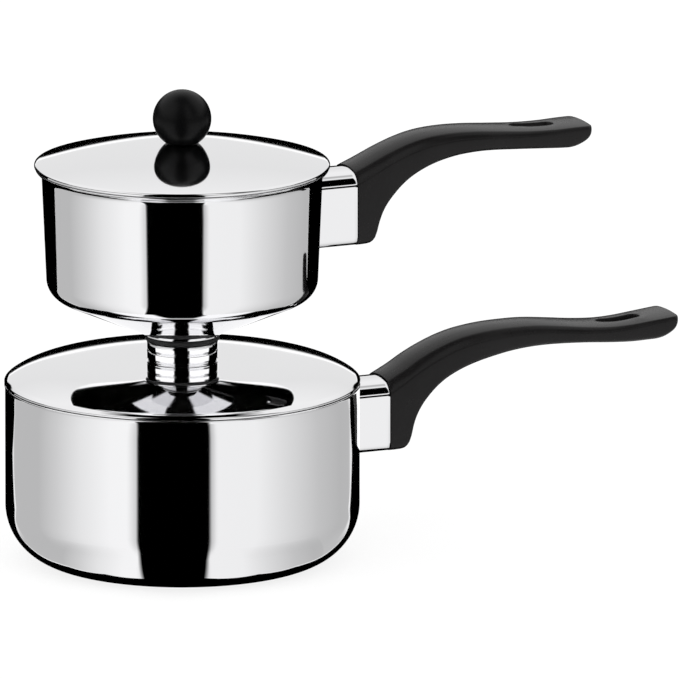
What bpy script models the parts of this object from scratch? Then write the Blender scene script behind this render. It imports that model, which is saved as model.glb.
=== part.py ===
"""Couscous steamer: a boiling pan, its cover with a steam chimney, a funnel-bottomed pan and its lid.

Metres, +Z up. The origin is the centre of the lower pan's flat base, and both handles point along +X.
Each group of pieces hangs on an empty at its seat: the cover on the lower rim, the seal on the
chimney, the upper pan on the seal, the steam plate on the funnel and the lid on the upper rim.
"""
import math

import bmesh
import bpy
from mathutils import Vector

# Fits
GAP = 0.0003                    # between pieces that touch
SCREW_CLEARANCE = 0.0003        # round a screw's shank
PLUG_CLEARANCE = 0.0008         # round a lid's plug inside its pan
SPIGOT_CLEARANCE = 0.0004       # round the funnel's spigot inside the chimney

# Roundness
PAN_FACES = 48
TUBE_FACES = 32
KNOB_FACES = 24
SCREW_FACES = 14

# Lower pan
LOWER_RADIUS = 0.0902
LOWER_HEIGHT = 0.0923
LOWER_WALL = 0.0009
LOWER_BASE = 0.0030
LOWER_CORNER = 0.0300
LIP_FLARE = 0.0004
LIP_HEIGHT = 0.0012

# Cover of the lower pan
COVER_RISE = 0.0100
COVER_POWER = 7.0               # a flat crown that falls away at the edge
COVER_SHEET = 0.0008
COVER_EDGE = 0.0014
COVER_OVERHANG = 0.0004
COVER_PLUG = 0.0060

# Steam chimney
CHIMNEY_RADIUS = 0.0181
CHIMNEY_BORE = 0.0150
CHIMNEY_SPIGOT = 0.0165
CHIMNEY_FOOT = 0.0009           # plain edge that stands on the cover
CHIMNEY_RIBS = 2
RIB_PITCH = 0.0047
RIB_DEPTH = 0.0008
COLLAR_WIDTH = 0.0040
COLLAR_HEIGHT = 0.0032
COLLAR_OVERLAP = 0.0010         # chimney that shows below its collar

# Seal ring
SEAL_RADIUS = 0.0189
SEAL_HEIGHT = 0.0023

# Upper pan
UPPER_RADIUS = 0.0713           # at the rim
UPPER_FOOT_RADIUS = 0.0691      # where the wall meets the corner
UPPER_HEIGHT = 0.0870           # from the seal to the rim
UPPER_WALL = 0.0009
UPPER_CORNER = 0.0110
FUNNEL_ANGLE = math.radians(23.4)
NECK_LIP_RADIUS = 0.0193
NECK_LIP_HEIGHT = 0.0009
SPIGOT_WALL = 0.0008
SPIGOT_LENGTH = 0.0085
RIM_HEIGHT = 0.0057             # the flared band under the rim
RIM_FLARE = 0.0032

# Steam plate
PLATE_RADIUS = 0.0590
PLATE_SHEET = 0.0009
PLATE_HOLE = 0.0021
PLATE_RINGS = 3
PLATE_RING_PITCH = 0.0165
PLATE_KNOB_RADIUS = 0.0070
PLATE_KNOB_HEIGHT = 0.0130
PLATE_NUT_RADIUS = 0.0042
PLATE_NUT_HEIGHT = 0.0030

# Lid
LID_RADIUS = 0.0752
LID_RISE = 0.0107
LID_POWER = 2.0
LID_SHEET = 0.0008
LID_EDGE = 0.0019
LID_PLUG = 0.0048
BALL_RADIUS = 0.0149
BALL_FOOT_RADIUS = 0.0085
WASHER_RADIUS = 0.0060
WASHER_HEIGHT = 0.0008

# Screws
SCREW_RADIUS = 0.0020
SCREW_HEAD_RADIUS = 0.0038
SCREW_HEAD_HEIGHT = 0.0024
KNOB_THREAD = 0.0085            # screw inside the ball

# Handles
HANDLE_WIDTH = 0.0290
HANDLE_CROWN = 0.0030           # arch of the top face at the root
HANDLE_SHOULDER = 0.0050        # rounding of the top corners at the root
HANDLE_FOOT = 0.0042            # rounding of the bottom corners
FERRULE_WALL = 0.0010
TIP_CROWN = 0.0007
TIP_SHOULDER = 0.0016
TIP_LENGTH = 0.0130             # over which the underside curves up to the end
TIP_EDGE = 0.0028               # thickness left at the end
TIP_CORNER = 0.0024             # rounding of the end in plan
LOWER_HANDLE_HEIGHT = 0.0368    # of the ferrule
UPPER_HANDLE_HEIGHT = 0.0386
LOWER_FERRULE_LENGTH = 0.0191
UPPER_FERRULE_LENGTH = 0.0207
LOWER_GRIP_LENGTH = 0.1618
UPPER_GRIP_LENGTH = 0.1313
LOWER_HANDLE_DROP = 0.0247      # from the rim to the ferrule's middle
UPPER_HANDLE_DROP = 0.0268
SLOT_LENGTH = 0.0240
SLOT_WIDTH = 0.0080
SLOT_TO_TIP = 0.0163
BRACKET_WIDTH = 0.0080
BRACKET_HEIGHT = 0.0120
BRACKET_FLANGE = 0.0060         # flange that shows round the bar
BRACKET_SHEET = 0.0022
TONGUE_LENGTH = 0.0110          # bar inside the grip
SCREW_TO_ROOT = 0.0066
SCREW_RECESS = 0.0055

# Lines of the grips in millimetres: reach from the root, and rise above the ferrule's top or its
# underside. The root stands a little proud of the ferrule.
GRIP_UNIT = 0.001
LOWER_GRIP_TOP = (
    (0.0, 0.6), (8.6, 5.0), (17.2, 10.0), (26.8, 14.5), (36.4, 18.0),
    (46.0, 20.3), (60.0, 21.9), (75.0, 22.2), (85.0, 21.8), (98.0, 20.3),
    (112.0, 18.5), (125.0, 17.5), (136.0, 17.7), (148.0, 18.7), (161.8, 19.9),
)
LOWER_GRIP_UNDER = (
    (0.0, 0.0), (5.0, 0.0), (8.5, 0.4), (10.5, 1.8), (11.8, 4.6),
    (12.8, 8.8), (14.6, 14.4), (18.0, 20.6), (22.0, 25.6), (27.0, 30.5),
    (33.0, 34.7), (40.0, 38.1), (48.0, 40.9), (58.0, 43.4), (70.0, 45.6),
    (82.0, 46.7), (95.0, 46.8), (110.0, 46.2), (125.0, 45.0), (137.0, 44.3),
    (148.0, 44.5), (161.8, 44.7),
)
UPPER_GRIP_TOP = (
    (0.0, 0.6), (6.0, 3.0), (12.0, 5.6), (18.0, 8.2), (24.0, 10.5),
    (30.0, 12.5), (37.0, 14.3), (45.0, 15.5), (56.0, 16.0), (68.0, 15.6),
    (82.0, 14.4), (98.0, 13.1), (112.0, 12.7), (122.0, 12.9), (131.3, 12.9),
)
UPPER_GRIP_UNDER = (
    (0.0, 0.0), (4.5, 0.0), (8.0, 0.5), (9.8, 1.9), (10.8, 4.0),
    (12.0, 8.4), (14.4, 14.6), (17.4, 19.5), (21.0, 23.8), (25.0, 27.8),
    (30.0, 31.7), (36.0, 35.1), (43.0, 38.0), (51.0, 40.2), (60.0, 41.7),
    (73.0, 42.4), (90.0, 41.7), (105.0, 40.8), (118.0, 40.1), (131.3, 40.1),
)
# Width of the grips: share of their length and share of the ferrule's width
GRIP_WIDTH = ((0.0, 1.04), (0.12, 0.99), (0.45, 0.96), (0.75, 0.98), (1.0, 1.01))

COLOURS = {
    "mirror_steel": ((0.83, 0.83, 0.84, 1), 1.0, 0.06),
    "brushed_steel": ((0.62, 0.62, 0.63, 1), 1.0, 0.28),
    "bakelite": ((0.018, 0.018, 0.019, 1), 0.0, 0.38),
    "silicone": ((0.015, 0.015, 0.016, 1), 0.0, 0.55),
}


# Shapes

def material(name, look):
    """A Principled material of one named look."""
    colour, metallic, roughness = COLOURS[look]
    result = bpy.data.materials.new(name)
    result.use_nodes = True
    shader = result.node_tree.nodes["Principled BSDF"]
    shader.inputs["Base Color"].default_value = colour
    shader.inputs["Metallic"].default_value = metallic
    shader.inputs["Roughness"].default_value = roughness
    result.diffuse_color = colour
    return result


def seat(name, parent, height=0.0):
    """An empty that carries one group of pieces, on the axis of its joint."""
    empty = bpy.data.objects.new(name, None)
    bpy.context.scene.collection.objects.link(empty)
    empty.parent = parent
    empty.location.z = height
    return empty


def piece(name, shape, look, parent, sharp=30):
    """Turn a bmesh into a smooth-shaded object under its group's empty."""
    bmesh.ops.remove_doubles(shape, verts=shape.verts, dist=1e-6)
    bmesh.ops.recalc_face_normals(shape, faces=shape.faces)
    mesh = bpy.data.meshes.new(name)
    shape.to_mesh(mesh)
    shape.free()
    mesh.shade_smooth()
    mesh.set_sharp_from_angle(angle=math.radians(sharp))
    mesh.materials.append(material(name, look))
    result = bpy.data.objects.new(name, mesh)
    bpy.context.scene.collection.objects.link(result)
    result.parent = parent
    return result


def turned(outline, faces, middle=(0.0, 0.0, 0.0)):
    """Spin an outline of (radius, height) points round Z. It ends on the axis or closes on itself."""
    shape = bmesh.new()
    centre = Vector(middle)
    ring = [shape.verts.new(centre + Vector((radius, 0, height))) for radius, height in outline]
    edges = [shape.edges.new(pair) for pair in zip(ring, ring[1:])]
    if outline[0][0] > 0 or outline[-1][0] > 0:
        edges.append(shape.edges.new((ring[-1], ring[0])))
    bmesh.ops.spin(shape, geom=ring + edges, cent=centre, axis=(0, 0, 1), angle=math.tau,
                   steps=faces, use_merge=True)
    bmesh.ops.remove_doubles(shape, verts=shape.verts, dist=1e-6)
    return shape


def arc(centre, radii, start, end, steps):
    """Points along an ellipse's arc, angles in degrees from +radius towards +height."""
    angles = [math.radians(start + (end - start) * step / steps) for step in range(steps + 1)]
    return [(centre[0] + radii[0] * math.cos(angle), centre[1] + radii[1] * math.sin(angle))
            for angle in angles]


def offset(line, distance):
    """The line moved sideways by a sheet's thickness, to the left of its direction."""
    moved = []
    for index, point in enumerate(line):
        before = Vector(line[max(index - 1, 0)])
        after = Vector(line[min(index + 1, len(line) - 1)])
        here = Vector(point)
        sides = [Vector((-step.y, step.x)).normalized()
                 for step in (here - before, after - here) if step.length > 1e-9]
        normal = sum(sides, Vector((0, 0))).normalized()
        reach = distance / max(normal.dot(sides[0]), 0.5)
        moved.append(tuple(here + normal * reach))
    return moved


def cutter(name, shape, parent):
    """A hidden solid that a Boolean takes away."""
    result = piece(name, shape, "mirror_steel", parent)
    result.hide_render = True
    result.display_type = "WIRE"
    return result


def cut(target, tool):
    """Take one cutter away from a piece."""
    modifier = target.modifiers.new(tool.name, "BOOLEAN")
    modifier.operation = "DIFFERENCE"
    modifier.solver = "EXACT"
    modifier.object = tool


def box(low, high):
    """A plain block between two corners."""
    shape = bmesh.new()
    bmesh.ops.create_cube(shape, size=1.0)
    for vert in shape.verts:
        vert.co = Vector([low[axis] if vert.co[axis] < 0 else high[axis] for axis in range(3)])
    return shape


def loft(rings, closed=False):
    """Bridge rings of points into one skin, capped at both ends or closed on itself."""
    shape = bmesh.new()
    loops = [[shape.verts.new(point) for point in ring] for ring in rings]
    pairs = list(zip(loops, loops[1:]))
    if closed:
        pairs.append((loops[-1], loops[0]))
    else:
        shape.faces.new(loops[0])
        shape.faces.new(reversed(loops[-1]))
    for first, second in pairs:
        for index in range(len(first)):
            following = (index + 1) % len(first)
            shape.faces.new((first[index], second[index], second[following], first[following]))
    return shape


def smooth_value(table, place):
    """Read a table of (place, value) rows anywhere along it, on a smooth curve through the rows."""
    last = len(table) - 1
    row = min(sum(1 for entry in table[1:] if entry[0] <= place), last - 1)
    rows = [table[min(max(row + step, 0), last)] for step in (-1, 0, 1, 2)]
    span = rows[2][0] - rows[1][0]
    share = (place - rows[1][0]) / span
    slopes = []
    for low, high in ((rows[0], rows[2]), (rows[1], rows[3])):
        slopes.append((high[1] - low[1]) / (high[0] - low[0]) * span)
    square, cube = share ** 2, share ** 3
    return (rows[1][1] * (2 * cube - 3 * square + 1) + slopes[0] * (cube - 2 * square + share)
            + rows[2][1] * (3 * square - 2 * cube) + slopes[1] * (cube - square))


# Lower pan

def lower_pan_outline():
    """The drawn pan's section: flat base, round corner, straight wall and a small lip."""
    corner = (LOWER_RADIUS - LOWER_CORNER, LOWER_CORNER)
    lip = LOWER_HEIGHT - LIP_HEIGHT
    line = [(0.0, 0.0)] + arc(corner, (LOWER_CORNER, LOWER_CORNER), -90, 0, 7)
    line += [(LOWER_RADIUS, lip), (LOWER_RADIUS + LIP_FLARE, lip + LIP_HEIGHT * 0.4)]
    line += [(LOWER_RADIUS + LIP_FLARE, LOWER_HEIGHT), (LOWER_RADIUS - LOWER_WALL, LOWER_HEIGHT)]
    inner = (LOWER_CORNER - LOWER_WALL, LOWER_CORNER - LOWER_BASE)
    return line + arc(corner, inner, 0, -90, 6) + [(0.0, LOWER_BASE)]


def lower_wall_radius(height):
    """Outside radius of the lower pan's straight wall."""
    return LOWER_RADIUS


# Cover and chimney

def dome(radius, edge_radius, rise, power):
    """Height of a lid's crown above its edge."""
    return rise * (1 - (radius / edge_radius) ** power)


def lid_outline(radius, rise, power, sheet, edge, plug_radius, plug, hole):
    """Section of a domed lid with a rolled edge, a plug below it and a hole in its middle.

    Heights are above the rim that it sits on.
    """
    top = GAP + edge
    roll = edge * 0.35
    steps = (0, 0.25, 0.48, 0.66, 0.79, 0.89, 0.95, 1)
    crown = [hole + (radius - roll - hole) * share for share in steps]
    line = [(r, top + dome(r, radius, rise, power)) for r in crown]
    line += [(radius, top - roll), (radius, GAP + roll), (radius - roll, GAP), (plug_radius, GAP)]
    line += [(plug_radius, -plug), (plug_radius - sheet, -plug)]
    under = [plug_radius - sheet - (plug_radius - sheet - hole) * share
             for share in (0, 0.08, 0.2, 0.38, 0.62, 1)]
    return line + [(r, top - sheet + dome(r, radius, rise, power)) for r in under]


def chimney_outline(shoulder, cover_top):
    """Section of the steam chimney: a foot and grooved bands above the cover, a plain spigot below."""
    line = [(CHIMNEY_BORE, cover_top - COVER_SHEET - COLLAR_HEIGHT - GAP - COLLAR_OVERLAP)]
    line += [(CHIMNEY_SPIGOT, line[0][1]), (CHIMNEY_SPIGOT, shoulder)]
    line += [(CHIMNEY_RADIUS, shoulder), (CHIMNEY_RADIUS, shoulder + CHIMNEY_FOOT * 0.7)]
    for rib in range(CHIMNEY_RIBS):
        foot = shoulder + CHIMNEY_FOOT + rib * RIB_PITCH
        for share, depth in ((0.0, 1.0), (0.1, 0.3), (0.28, 0.0), (0.72, 0.0), (0.9, 0.3)):
            line.append((CHIMNEY_RADIUS - RIB_DEPTH * depth, foot + RIB_PITCH * share))
    top = shoulder + CHIMNEY_FOOT + CHIMNEY_RIBS * RIB_PITCH
    return line + [(CHIMNEY_RADIUS - RIB_DEPTH, top), (CHIMNEY_BORE, top)]


# Upper pan

def funnel_height(radius):
    """Outside of the funnel above the seal."""
    return GAP + NECK_LIP_HEIGHT + math.tan(FUNNEL_ANGLE) * (radius - NECK_LIP_RADIUS)


def corner_place():
    """Middle of the upper pan's corner arc, which meets the funnel and the wall."""
    radius = UPPER_FOOT_RADIUS - UPPER_CORNER
    touch = radius + UPPER_CORNER * math.sin(FUNNEL_ANGLE)
    return radius, funnel_height(touch) + UPPER_CORNER * math.cos(FUNNEL_ANGLE)


def upper_wall_radius(height):
    """Outside radius of the upper pan's slightly tapered wall, heights above the seal."""
    low = corner_place()[1]
    high = UPPER_HEIGHT - RIM_HEIGHT
    return UPPER_FOOT_RADIUS + (UPPER_RADIUS - UPPER_FOOT_RADIUS) * (height - low) / (high - low)


def upper_pan_outline():
    """Section of the upper pan: spigot, neck lip, funnel, corner, tapered wall and flared rim."""
    spigot = CHIMNEY_BORE - SPIGOT_CLEARANCE
    bore = spigot - SPIGOT_WALL
    corner = corner_place()
    shell = [(NECK_LIP_RADIUS, funnel_height(NECK_LIP_RADIUS))]
    shell += arc(corner, (UPPER_CORNER, UPPER_CORNER), -90 + math.degrees(FUNNEL_ANGLE), 0, 5)
    band = UPPER_HEIGHT - RIM_HEIGHT
    for height, share in ((0.0, 0.0), (0.36, 0.10), (0.62, 0.38), (0.78, 0.82), (0.90, 1.0)):
        shell.append((UPPER_RADIUS + RIM_FLARE * share, band + RIM_HEIGHT * height))
    inside = offset(shell, UPPER_WALL)
    rim = [(shell[-1][0], UPPER_HEIGHT - RIM_HEIGHT * 0.05)]
    rim.append((shell[-1][0] - UPPER_WALL / 2, UPPER_HEIGHT))
    inside[-1] = (shell[-1][0] - UPPER_WALL * 1.6, UPPER_HEIGHT)
    inside[-2] = (shell[-2][0] - UPPER_WALL * 1.9, UPPER_HEIGHT - UPPER_WALL * 0.6)
    throat = GAP + NECK_LIP_HEIGHT + UPPER_WALL / 3
    throat_radius = NECK_LIP_RADIUS - (inside[0][1] - throat) / math.tan(FUNNEL_ANGLE)
    line = [(bore, -SPIGOT_LENGTH), (spigot, -SPIGOT_LENGTH), (spigot, GAP)]
    line += [(NECK_LIP_RADIUS - GAP, GAP), (NECK_LIP_RADIUS, GAP * 2)]
    line += shell + rim + inside[:0:-1]
    return line + [(throat_radius, throat), (bore, throat)]


# Handles

def section(width, low, top, crown, shoulder, foot):
    """A rounded handle section as (y, z) points: an arched top with its crest at the given height."""
    side = width / 2
    crown = min(crown, (top - low) * 0.3)
    high = top - crown
    room = high - low
    points = []
    for quarter, radius in ((0, shoulder), (90, shoulder), (180, foot), (270, foot)):
        radius = min(radius, room * 0.45, side * 0.6)
        y = (side - radius) * (1 if quarter in (0, 270) else -1)
        z = high - radius if quarter < 180 else low + radius
        points += arc((y, z), (radius, radius), quarter, quarter + 90, 3)
        if quarter == 0:
            points += [((side - radius) * share, high) for share in (0.45, -0.45)]
    middle = (high + low) / 2
    return [(y, z + (crown * (1 - (y / side) ** 2) if z > middle else 0.0)) for y, z in points]


def grip_rings(length, height, root, top_line, under_line):
    """Sections of a grip from its root face: the heel, the swept neck and the end."""
    half = height / 2
    start = length - TIP_LENGTH
    reaches = [row[0] * GRIP_UNIT for row in under_line if row[0] * GRIP_UNIT < start]
    reaches += [start + TIP_LENGTH * share for share in (0.0, 0.3, 0.55, 0.75, 0.9, 0.975, 1.0)]
    rings = []
    for reach in reaches:
        share = reach / length
        top = smooth_value(top_line, reach / GRIP_UNIT) * GRIP_UNIT
        low = smooth_value(under_line, reach / GRIP_UNIT) * GRIP_UNIT - height
        width = HANDLE_WIDTH * smooth_value(GRIP_WIDTH, share)
        if reach > start:
            along = min((reach - start) / TIP_LENGTH, 1.0)
            low = top - TIP_EDGE - (top - TIP_EDGE - low) * math.sqrt(1 - along ** 2)
        corner = max(0.0, reach - (length - TIP_CORNER))
        width -= 2 * (TIP_CORNER - math.sqrt(max(TIP_CORNER ** 2 - corner ** 2, 0.0)))
        crown = HANDLE_CROWN + (TIP_CROWN - HANDLE_CROWN) * share
        shoulder = HANDLE_SHOULDER + (TIP_SHOULDER - HANDLE_SHOULDER) * share
        outline = section(width, low, top, crown, shoulder, HANDLE_FOOT)
        rings.append([(root + reach, y, half + z) for y, z in outline])
    return rings


def stadium(length, width, centre, low, high):
    """An upright slot cutter with round ends, long along X."""
    reach = (length - width) / 2
    outline = [(centre + reach + x, y) for x, y in arc((0, 0), (width / 2, width / 2), -90, 90, 6)]
    outline += [(centre - reach + x, y) for x, y in arc((0, 0), (width / 2, width / 2), 90, 270, 6)]
    return loft([[(x, y, z) for x, y in outline] for z in (low, high)])


def build_handle(prefix, wall_radius, middle, height, ferrule_length, line, body):
    """Bracket, ferrule, grip and screw of one handle, its ferrule's middle at the given height."""
    base = seat(prefix + "_handle_root", body, middle)
    half = height / 2
    reach = wall_radius(middle) + ferrule_length

    wall = [(0.0, -half * 1.5)]
    wall += [(wall_radius(middle + z) + GAP, z) for z in (-half * 1.5, half * 1.5)]
    pan_cut = cutter(prefix + "_wall_cutter", turned(wall + [(0.0, half * 1.5)], PAN_FACES), base)

    skin = section(HANDLE_WIDTH, -half, half, HANDLE_CROWN, HANDLE_SHOULDER, HANDLE_FOOT)
    inner = half - FERRULE_WALL
    bore = section(HANDLE_WIDTH - 2 * FERRULE_WALL, -inner, inner, HANDLE_CROWN,
                   HANDLE_SHOULDER - FERRULE_WALL, HANDLE_FOOT - FERRULE_WALL)
    start = wall_radius(middle) - ferrule_length / 2
    rings = [[(x, y, z) for y, z in outline]
             for x, outline in ((start, skin), (reach, skin), (reach, bore), (start, bore))]
    ferrule = piece(prefix + "_ferrule", loft(rings, closed=True), "mirror_steel", base)
    cut(ferrule, pan_cut)

    flange = box((start, -BRACKET_WIDTH / 2 - BRACKET_FLANGE, -BRACKET_HEIGHT / 2 - BRACKET_FLANGE),
                 (wall_radius(middle) + BRACKET_SHEET, BRACKET_WIDTH / 2 + BRACKET_FLANGE,
                  BRACKET_HEIGHT / 2 + BRACKET_FLANGE))
    front = max(flange.faces, key=lambda face: face.calc_center_median().x)
    bmesh.ops.inset_individual(flange, faces=[front], thickness=BRACKET_FLANGE, use_even_offset=True)
    bar_length = ferrule_length - BRACKET_SHEET + TONGUE_LENGTH
    pulled = bmesh.ops.extrude_discrete_faces(flange, faces=[front])["faces"]
    bmesh.ops.translate(flange, verts=pulled[0].verts, vec=(bar_length, 0, 0))
    bracket = piece(prefix + "_bracket", flange, "brushed_steel", base)
    cut(bracket, pan_cut)

    root = reach + GAP
    screw_x = root + SCREW_TO_ROOT
    length, top_line, under_line = line
    grip = piece(prefix + "_grip", loft(grip_rings(length, height, root, top_line, under_line)),
                 "bakelite", base, 40)
    pocket = box((root - GAP, -BRACKET_WIDTH / 2 - GAP, -BRACKET_HEIGHT / 2 - GAP),
                 (reach + TONGUE_LENGTH + GAP, BRACKET_WIDTH / 2 + GAP, BRACKET_HEIGHT / 2 + GAP))
    cut(grip, cutter(prefix + "_pocket_cutter", pocket, base))
    slot = stadium(SLOT_LENGTH, SLOT_WIDTH, root + length - SLOT_TO_TIP - SLOT_LENGTH / 2,
                   -half, half + 0.3 * length)
    cut(grip, cutter(prefix + "_slot_cutter", slot, base))

    shoulder = SCREW_RECESS - half
    bore_radius = SCREW_RADIUS + SCREW_CLEARANCE
    recess = SCREW_HEAD_RADIUS + SCREW_CLEARANCE
    well = [(0.0, -half * 1.2), (recess, -half * 1.2), (recess, shoulder), (bore_radius, shoulder),
            (bore_radius, 0.0), (0.0, 0.0)]
    cut(grip, cutter(prefix + "_well_cutter", turned(well, SCREW_FACES, (screw_x, 0, 0)), base))
    through = [(0.0, -half), (bore_radius, -half), (bore_radius, half), (0.0, half)]
    cut(bracket, cutter(prefix + "_thread_cutter", turned(through, SCREW_FACES, (screw_x, 0, 0)), base))
    head = shoulder - GAP
    tip = BRACKET_HEIGHT / 2 - 2 * GAP
    outline = [(0.0, head - SCREW_HEAD_HEIGHT), (SCREW_HEAD_RADIUS * 0.7, head - SCREW_HEAD_HEIGHT),
               (SCREW_HEAD_RADIUS, head - SCREW_HEAD_HEIGHT * 0.5), (SCREW_HEAD_RADIUS, head),
               (SCREW_RADIUS, head), (SCREW_RADIUS, tip), (0.0, tip)]
    piece(prefix + "_handle_screw", turned(outline, SCREW_FACES, (screw_x, 0, 0)), "brushed_steel", base)


# Steam plate

def build_steam_plate(body):
    """The perforated plate on the funnel's slope, with its turned knob and the nut under it."""
    slope = UPPER_WALL / math.cos(FUNNEL_ANGLE)
    base = seat("steam_plate_seat", body, funnel_height(PLATE_RADIUS) + slope + GAP)
    outline = [(0.0, 0.0), (PLATE_RADIUS, 0.0), (PLATE_RADIUS, PLATE_SHEET), (0.0, PLATE_SHEET)]
    plate = piece("steam_plate", turned(outline, PAN_FACES), "brushed_steel", base)
    holes = bmesh.new()
    places = [(0.0, 0.0, SCREW_RADIUS + SCREW_CLEARANCE)]
    for ring in range(1, PLATE_RINGS + 1):
        for index in range(6 * ring):
            angle = math.tau * index / (6 * ring) + 0.3 * ring
            distance = PLATE_RING_PITCH * ring
            places.append((distance * math.cos(angle), distance * math.sin(angle), PLATE_HOLE))
    for x, y, radius in places:
        made = bmesh.ops.create_cone(holes, cap_ends=True, segments=8, radius1=radius, radius2=radius,
                                     depth=PLATE_SHEET * 4)
        bmesh.ops.translate(holes, verts=made["verts"], vec=(x, y, 0))
    cut(plate, cutter("plate_holes_cutter", holes, base))

    foot = PLATE_SHEET + GAP
    neck = PLATE_KNOB_RADIUS * 0.5
    shank = -GAP - PLATE_NUT_HEIGHT * 0.6
    outline = [(0.0, shank), (SCREW_RADIUS, shank), (SCREW_RADIUS, foot)]
    for radius, share in ((PLATE_KNOB_RADIUS * 0.8, 0.0), (PLATE_KNOB_RADIUS * 0.8, 0.1), (neck, 0.3),
                          (neck, 0.6), (PLATE_KNOB_RADIUS, 0.75), (PLATE_KNOB_RADIUS, 0.9),
                          (PLATE_KNOB_RADIUS * 0.7, 1.0), (0.0, 1.0)):
        outline.append((radius, foot + PLATE_KNOB_HEIGHT * share))
    piece("plate_knob", turned(outline, KNOB_FACES), "mirror_steel", base)

    well = SCREW_RADIUS + SCREW_CLEARANCE
    outline = [(0.0, -GAP - PLATE_NUT_HEIGHT), (PLATE_NUT_RADIUS * 0.6, -GAP - PLATE_NUT_HEIGHT)]
    outline += [(PLATE_NUT_RADIUS, -GAP - PLATE_NUT_HEIGHT * 0.6), (PLATE_NUT_RADIUS, -GAP), (well, -GAP)]
    outline += [(well, shank - SCREW_CLEARANCE), (0.0, shank - SCREW_CLEARANCE)]
    piece("plate_nut", turned(outline, SCREW_FACES), "brushed_steel", base)


# Lid of the upper pan

def build_lid(body):
    """The domed lid, its ball knob and the screw and washer that hold the knob from below."""
    base = seat("lid_seat", body, UPPER_HEIGHT)
    hole = SCREW_RADIUS + SCREW_CLEARANCE
    plug = UPPER_RADIUS - UPPER_WALL - PLUG_CLEARANCE
    outline = lid_outline(LID_RADIUS, LID_RISE, LID_POWER, LID_SHEET, LID_EDGE, plug, LID_PLUG, hole)
    piece("lid", turned(outline, PAN_FACES), "mirror_steel", base)

    crown = GAP + LID_EDGE + LID_RISE
    foot = crown + GAP
    middle = foot + math.sqrt(BALL_RADIUS ** 2 - BALL_FOOT_RADIUS ** 2)
    start = -math.degrees(math.acos(BALL_FOOT_RADIUS / BALL_RADIUS))
    thread = foot + KNOB_THREAD
    outline = [(0.0, thread + GAP), (hole, thread + GAP), (hole, foot)]
    outline += arc((0.0, middle), (BALL_RADIUS, BALL_RADIUS), start, 84, 12) + [(0.0, middle + BALL_RADIUS)]
    piece("lid_knob", turned(outline, KNOB_FACES), "bakelite", base, 60)

    under = crown - LID_SHEET - GAP
    washer = [(hole, under - WASHER_HEIGHT), (WASHER_RADIUS, under - WASHER_HEIGHT)]
    washer += [(WASHER_RADIUS, under - dome_drop(WASHER_RADIUS)), (hole, under - dome_drop(hole))]
    piece("knob_washer", turned(washer, KNOB_FACES), "brushed_steel", base)

    head = under - WASHER_HEIGHT - GAP
    outline = [(0.0, head - SCREW_HEAD_HEIGHT), (SCREW_HEAD_RADIUS * 0.7, head - SCREW_HEAD_HEIGHT)]
    outline += [(SCREW_HEAD_RADIUS, head - SCREW_HEAD_HEIGHT * 0.5), (SCREW_HEAD_RADIUS, head)]
    outline += [(SCREW_RADIUS, head), (SCREW_RADIUS, thread), (0.0, thread)]
    piece("knob_screw", turned(outline, SCREW_FACES), "brushed_steel", base)


def dome_drop(radius):
    """How far the lid's crown has fallen at a radius near its middle."""
    return LID_RISE - dome(radius, LID_RADIUS, LID_RISE, LID_POWER)


def build():
    """Model the whole steamer from its base up."""
    for thing in list(bpy.data.objects):
        bpy.data.objects.remove(thing, do_unlink=True)

    lower = seat("lower_pan_base", None)
    piece("lower_pan_body", turned(lower_pan_outline(), PAN_FACES), "mirror_steel", lower)
    build_handle("lower", lower_wall_radius, LOWER_HEIGHT - LOWER_HANDLE_DROP, LOWER_HANDLE_HEIGHT,
                 LOWER_FERRULE_LENGTH, (LOWER_GRIP_LENGTH, LOWER_GRIP_TOP, LOWER_GRIP_UNDER), lower)

    cover_seat = seat("cover_seat", lower, LOWER_HEIGHT)
    cover_radius = LOWER_RADIUS + COVER_OVERHANG
    hole = CHIMNEY_SPIGOT + GAP
    plug = LOWER_RADIUS - LOWER_WALL - PLUG_CLEARANCE
    outline = lid_outline(cover_radius, COVER_RISE, COVER_POWER, COVER_SHEET, COVER_EDGE, plug,
                          COVER_PLUG, hole)
    piece("cover", turned(outline, PAN_FACES), "mirror_steel", cover_seat)
    cover_top = GAP + COVER_EDGE + dome(hole, cover_radius, COVER_RISE, COVER_POWER)
    shoulder = cover_top + GAP
    piece("chimney", turned(chimney_outline(shoulder, cover_top), TUBE_FACES), "mirror_steel", cover_seat)
    collar_top = cover_top - COVER_SHEET - GAP
    collar = [(hole, collar_top - COLLAR_HEIGHT), (hole + COLLAR_WIDTH, collar_top - COLLAR_HEIGHT)]
    collar += [(hole + COLLAR_WIDTH, collar_top), (hole, collar_top)]
    piece("chimney_collar", turned(collar, TUBE_FACES), "brushed_steel", cover_seat)

    seal_seat = seat("seal_seat", cover_seat, shoulder + CHIMNEY_FOOT + CHIMNEY_RIBS * RIB_PITCH)
    round_off = SEAL_HEIGHT * 0.3
    seal_top = GAP + SEAL_HEIGHT
    seal = [(CHIMNEY_BORE, GAP), (SEAL_RADIUS - round_off, GAP), (SEAL_RADIUS, GAP + round_off)]
    seal += [(SEAL_RADIUS, seal_top - round_off), (SEAL_RADIUS - round_off, seal_top)]
    piece("seal_ring", turned(seal + [(CHIMNEY_BORE, seal_top)], TUBE_FACES), "silicone", seal_seat)

    upper = seat("upper_pan_seat", seal_seat, seal_top)
    piece("upper_pan_body", turned(upper_pan_outline(), PAN_FACES), "mirror_steel", upper)
    build_handle("upper", upper_wall_radius, UPPER_HEIGHT - UPPER_HANDLE_DROP, UPPER_HANDLE_HEIGHT,
                 UPPER_FERRULE_LENGTH, (UPPER_GRIP_LENGTH, UPPER_GRIP_TOP, UPPER_GRIP_UNDER), upper)
    build_steam_plate(upper)
    build_lid(upper)


build()
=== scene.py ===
"""Looks of the couscous steamer, built round its packed frame and shown in a plain white studio."""
import math

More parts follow.
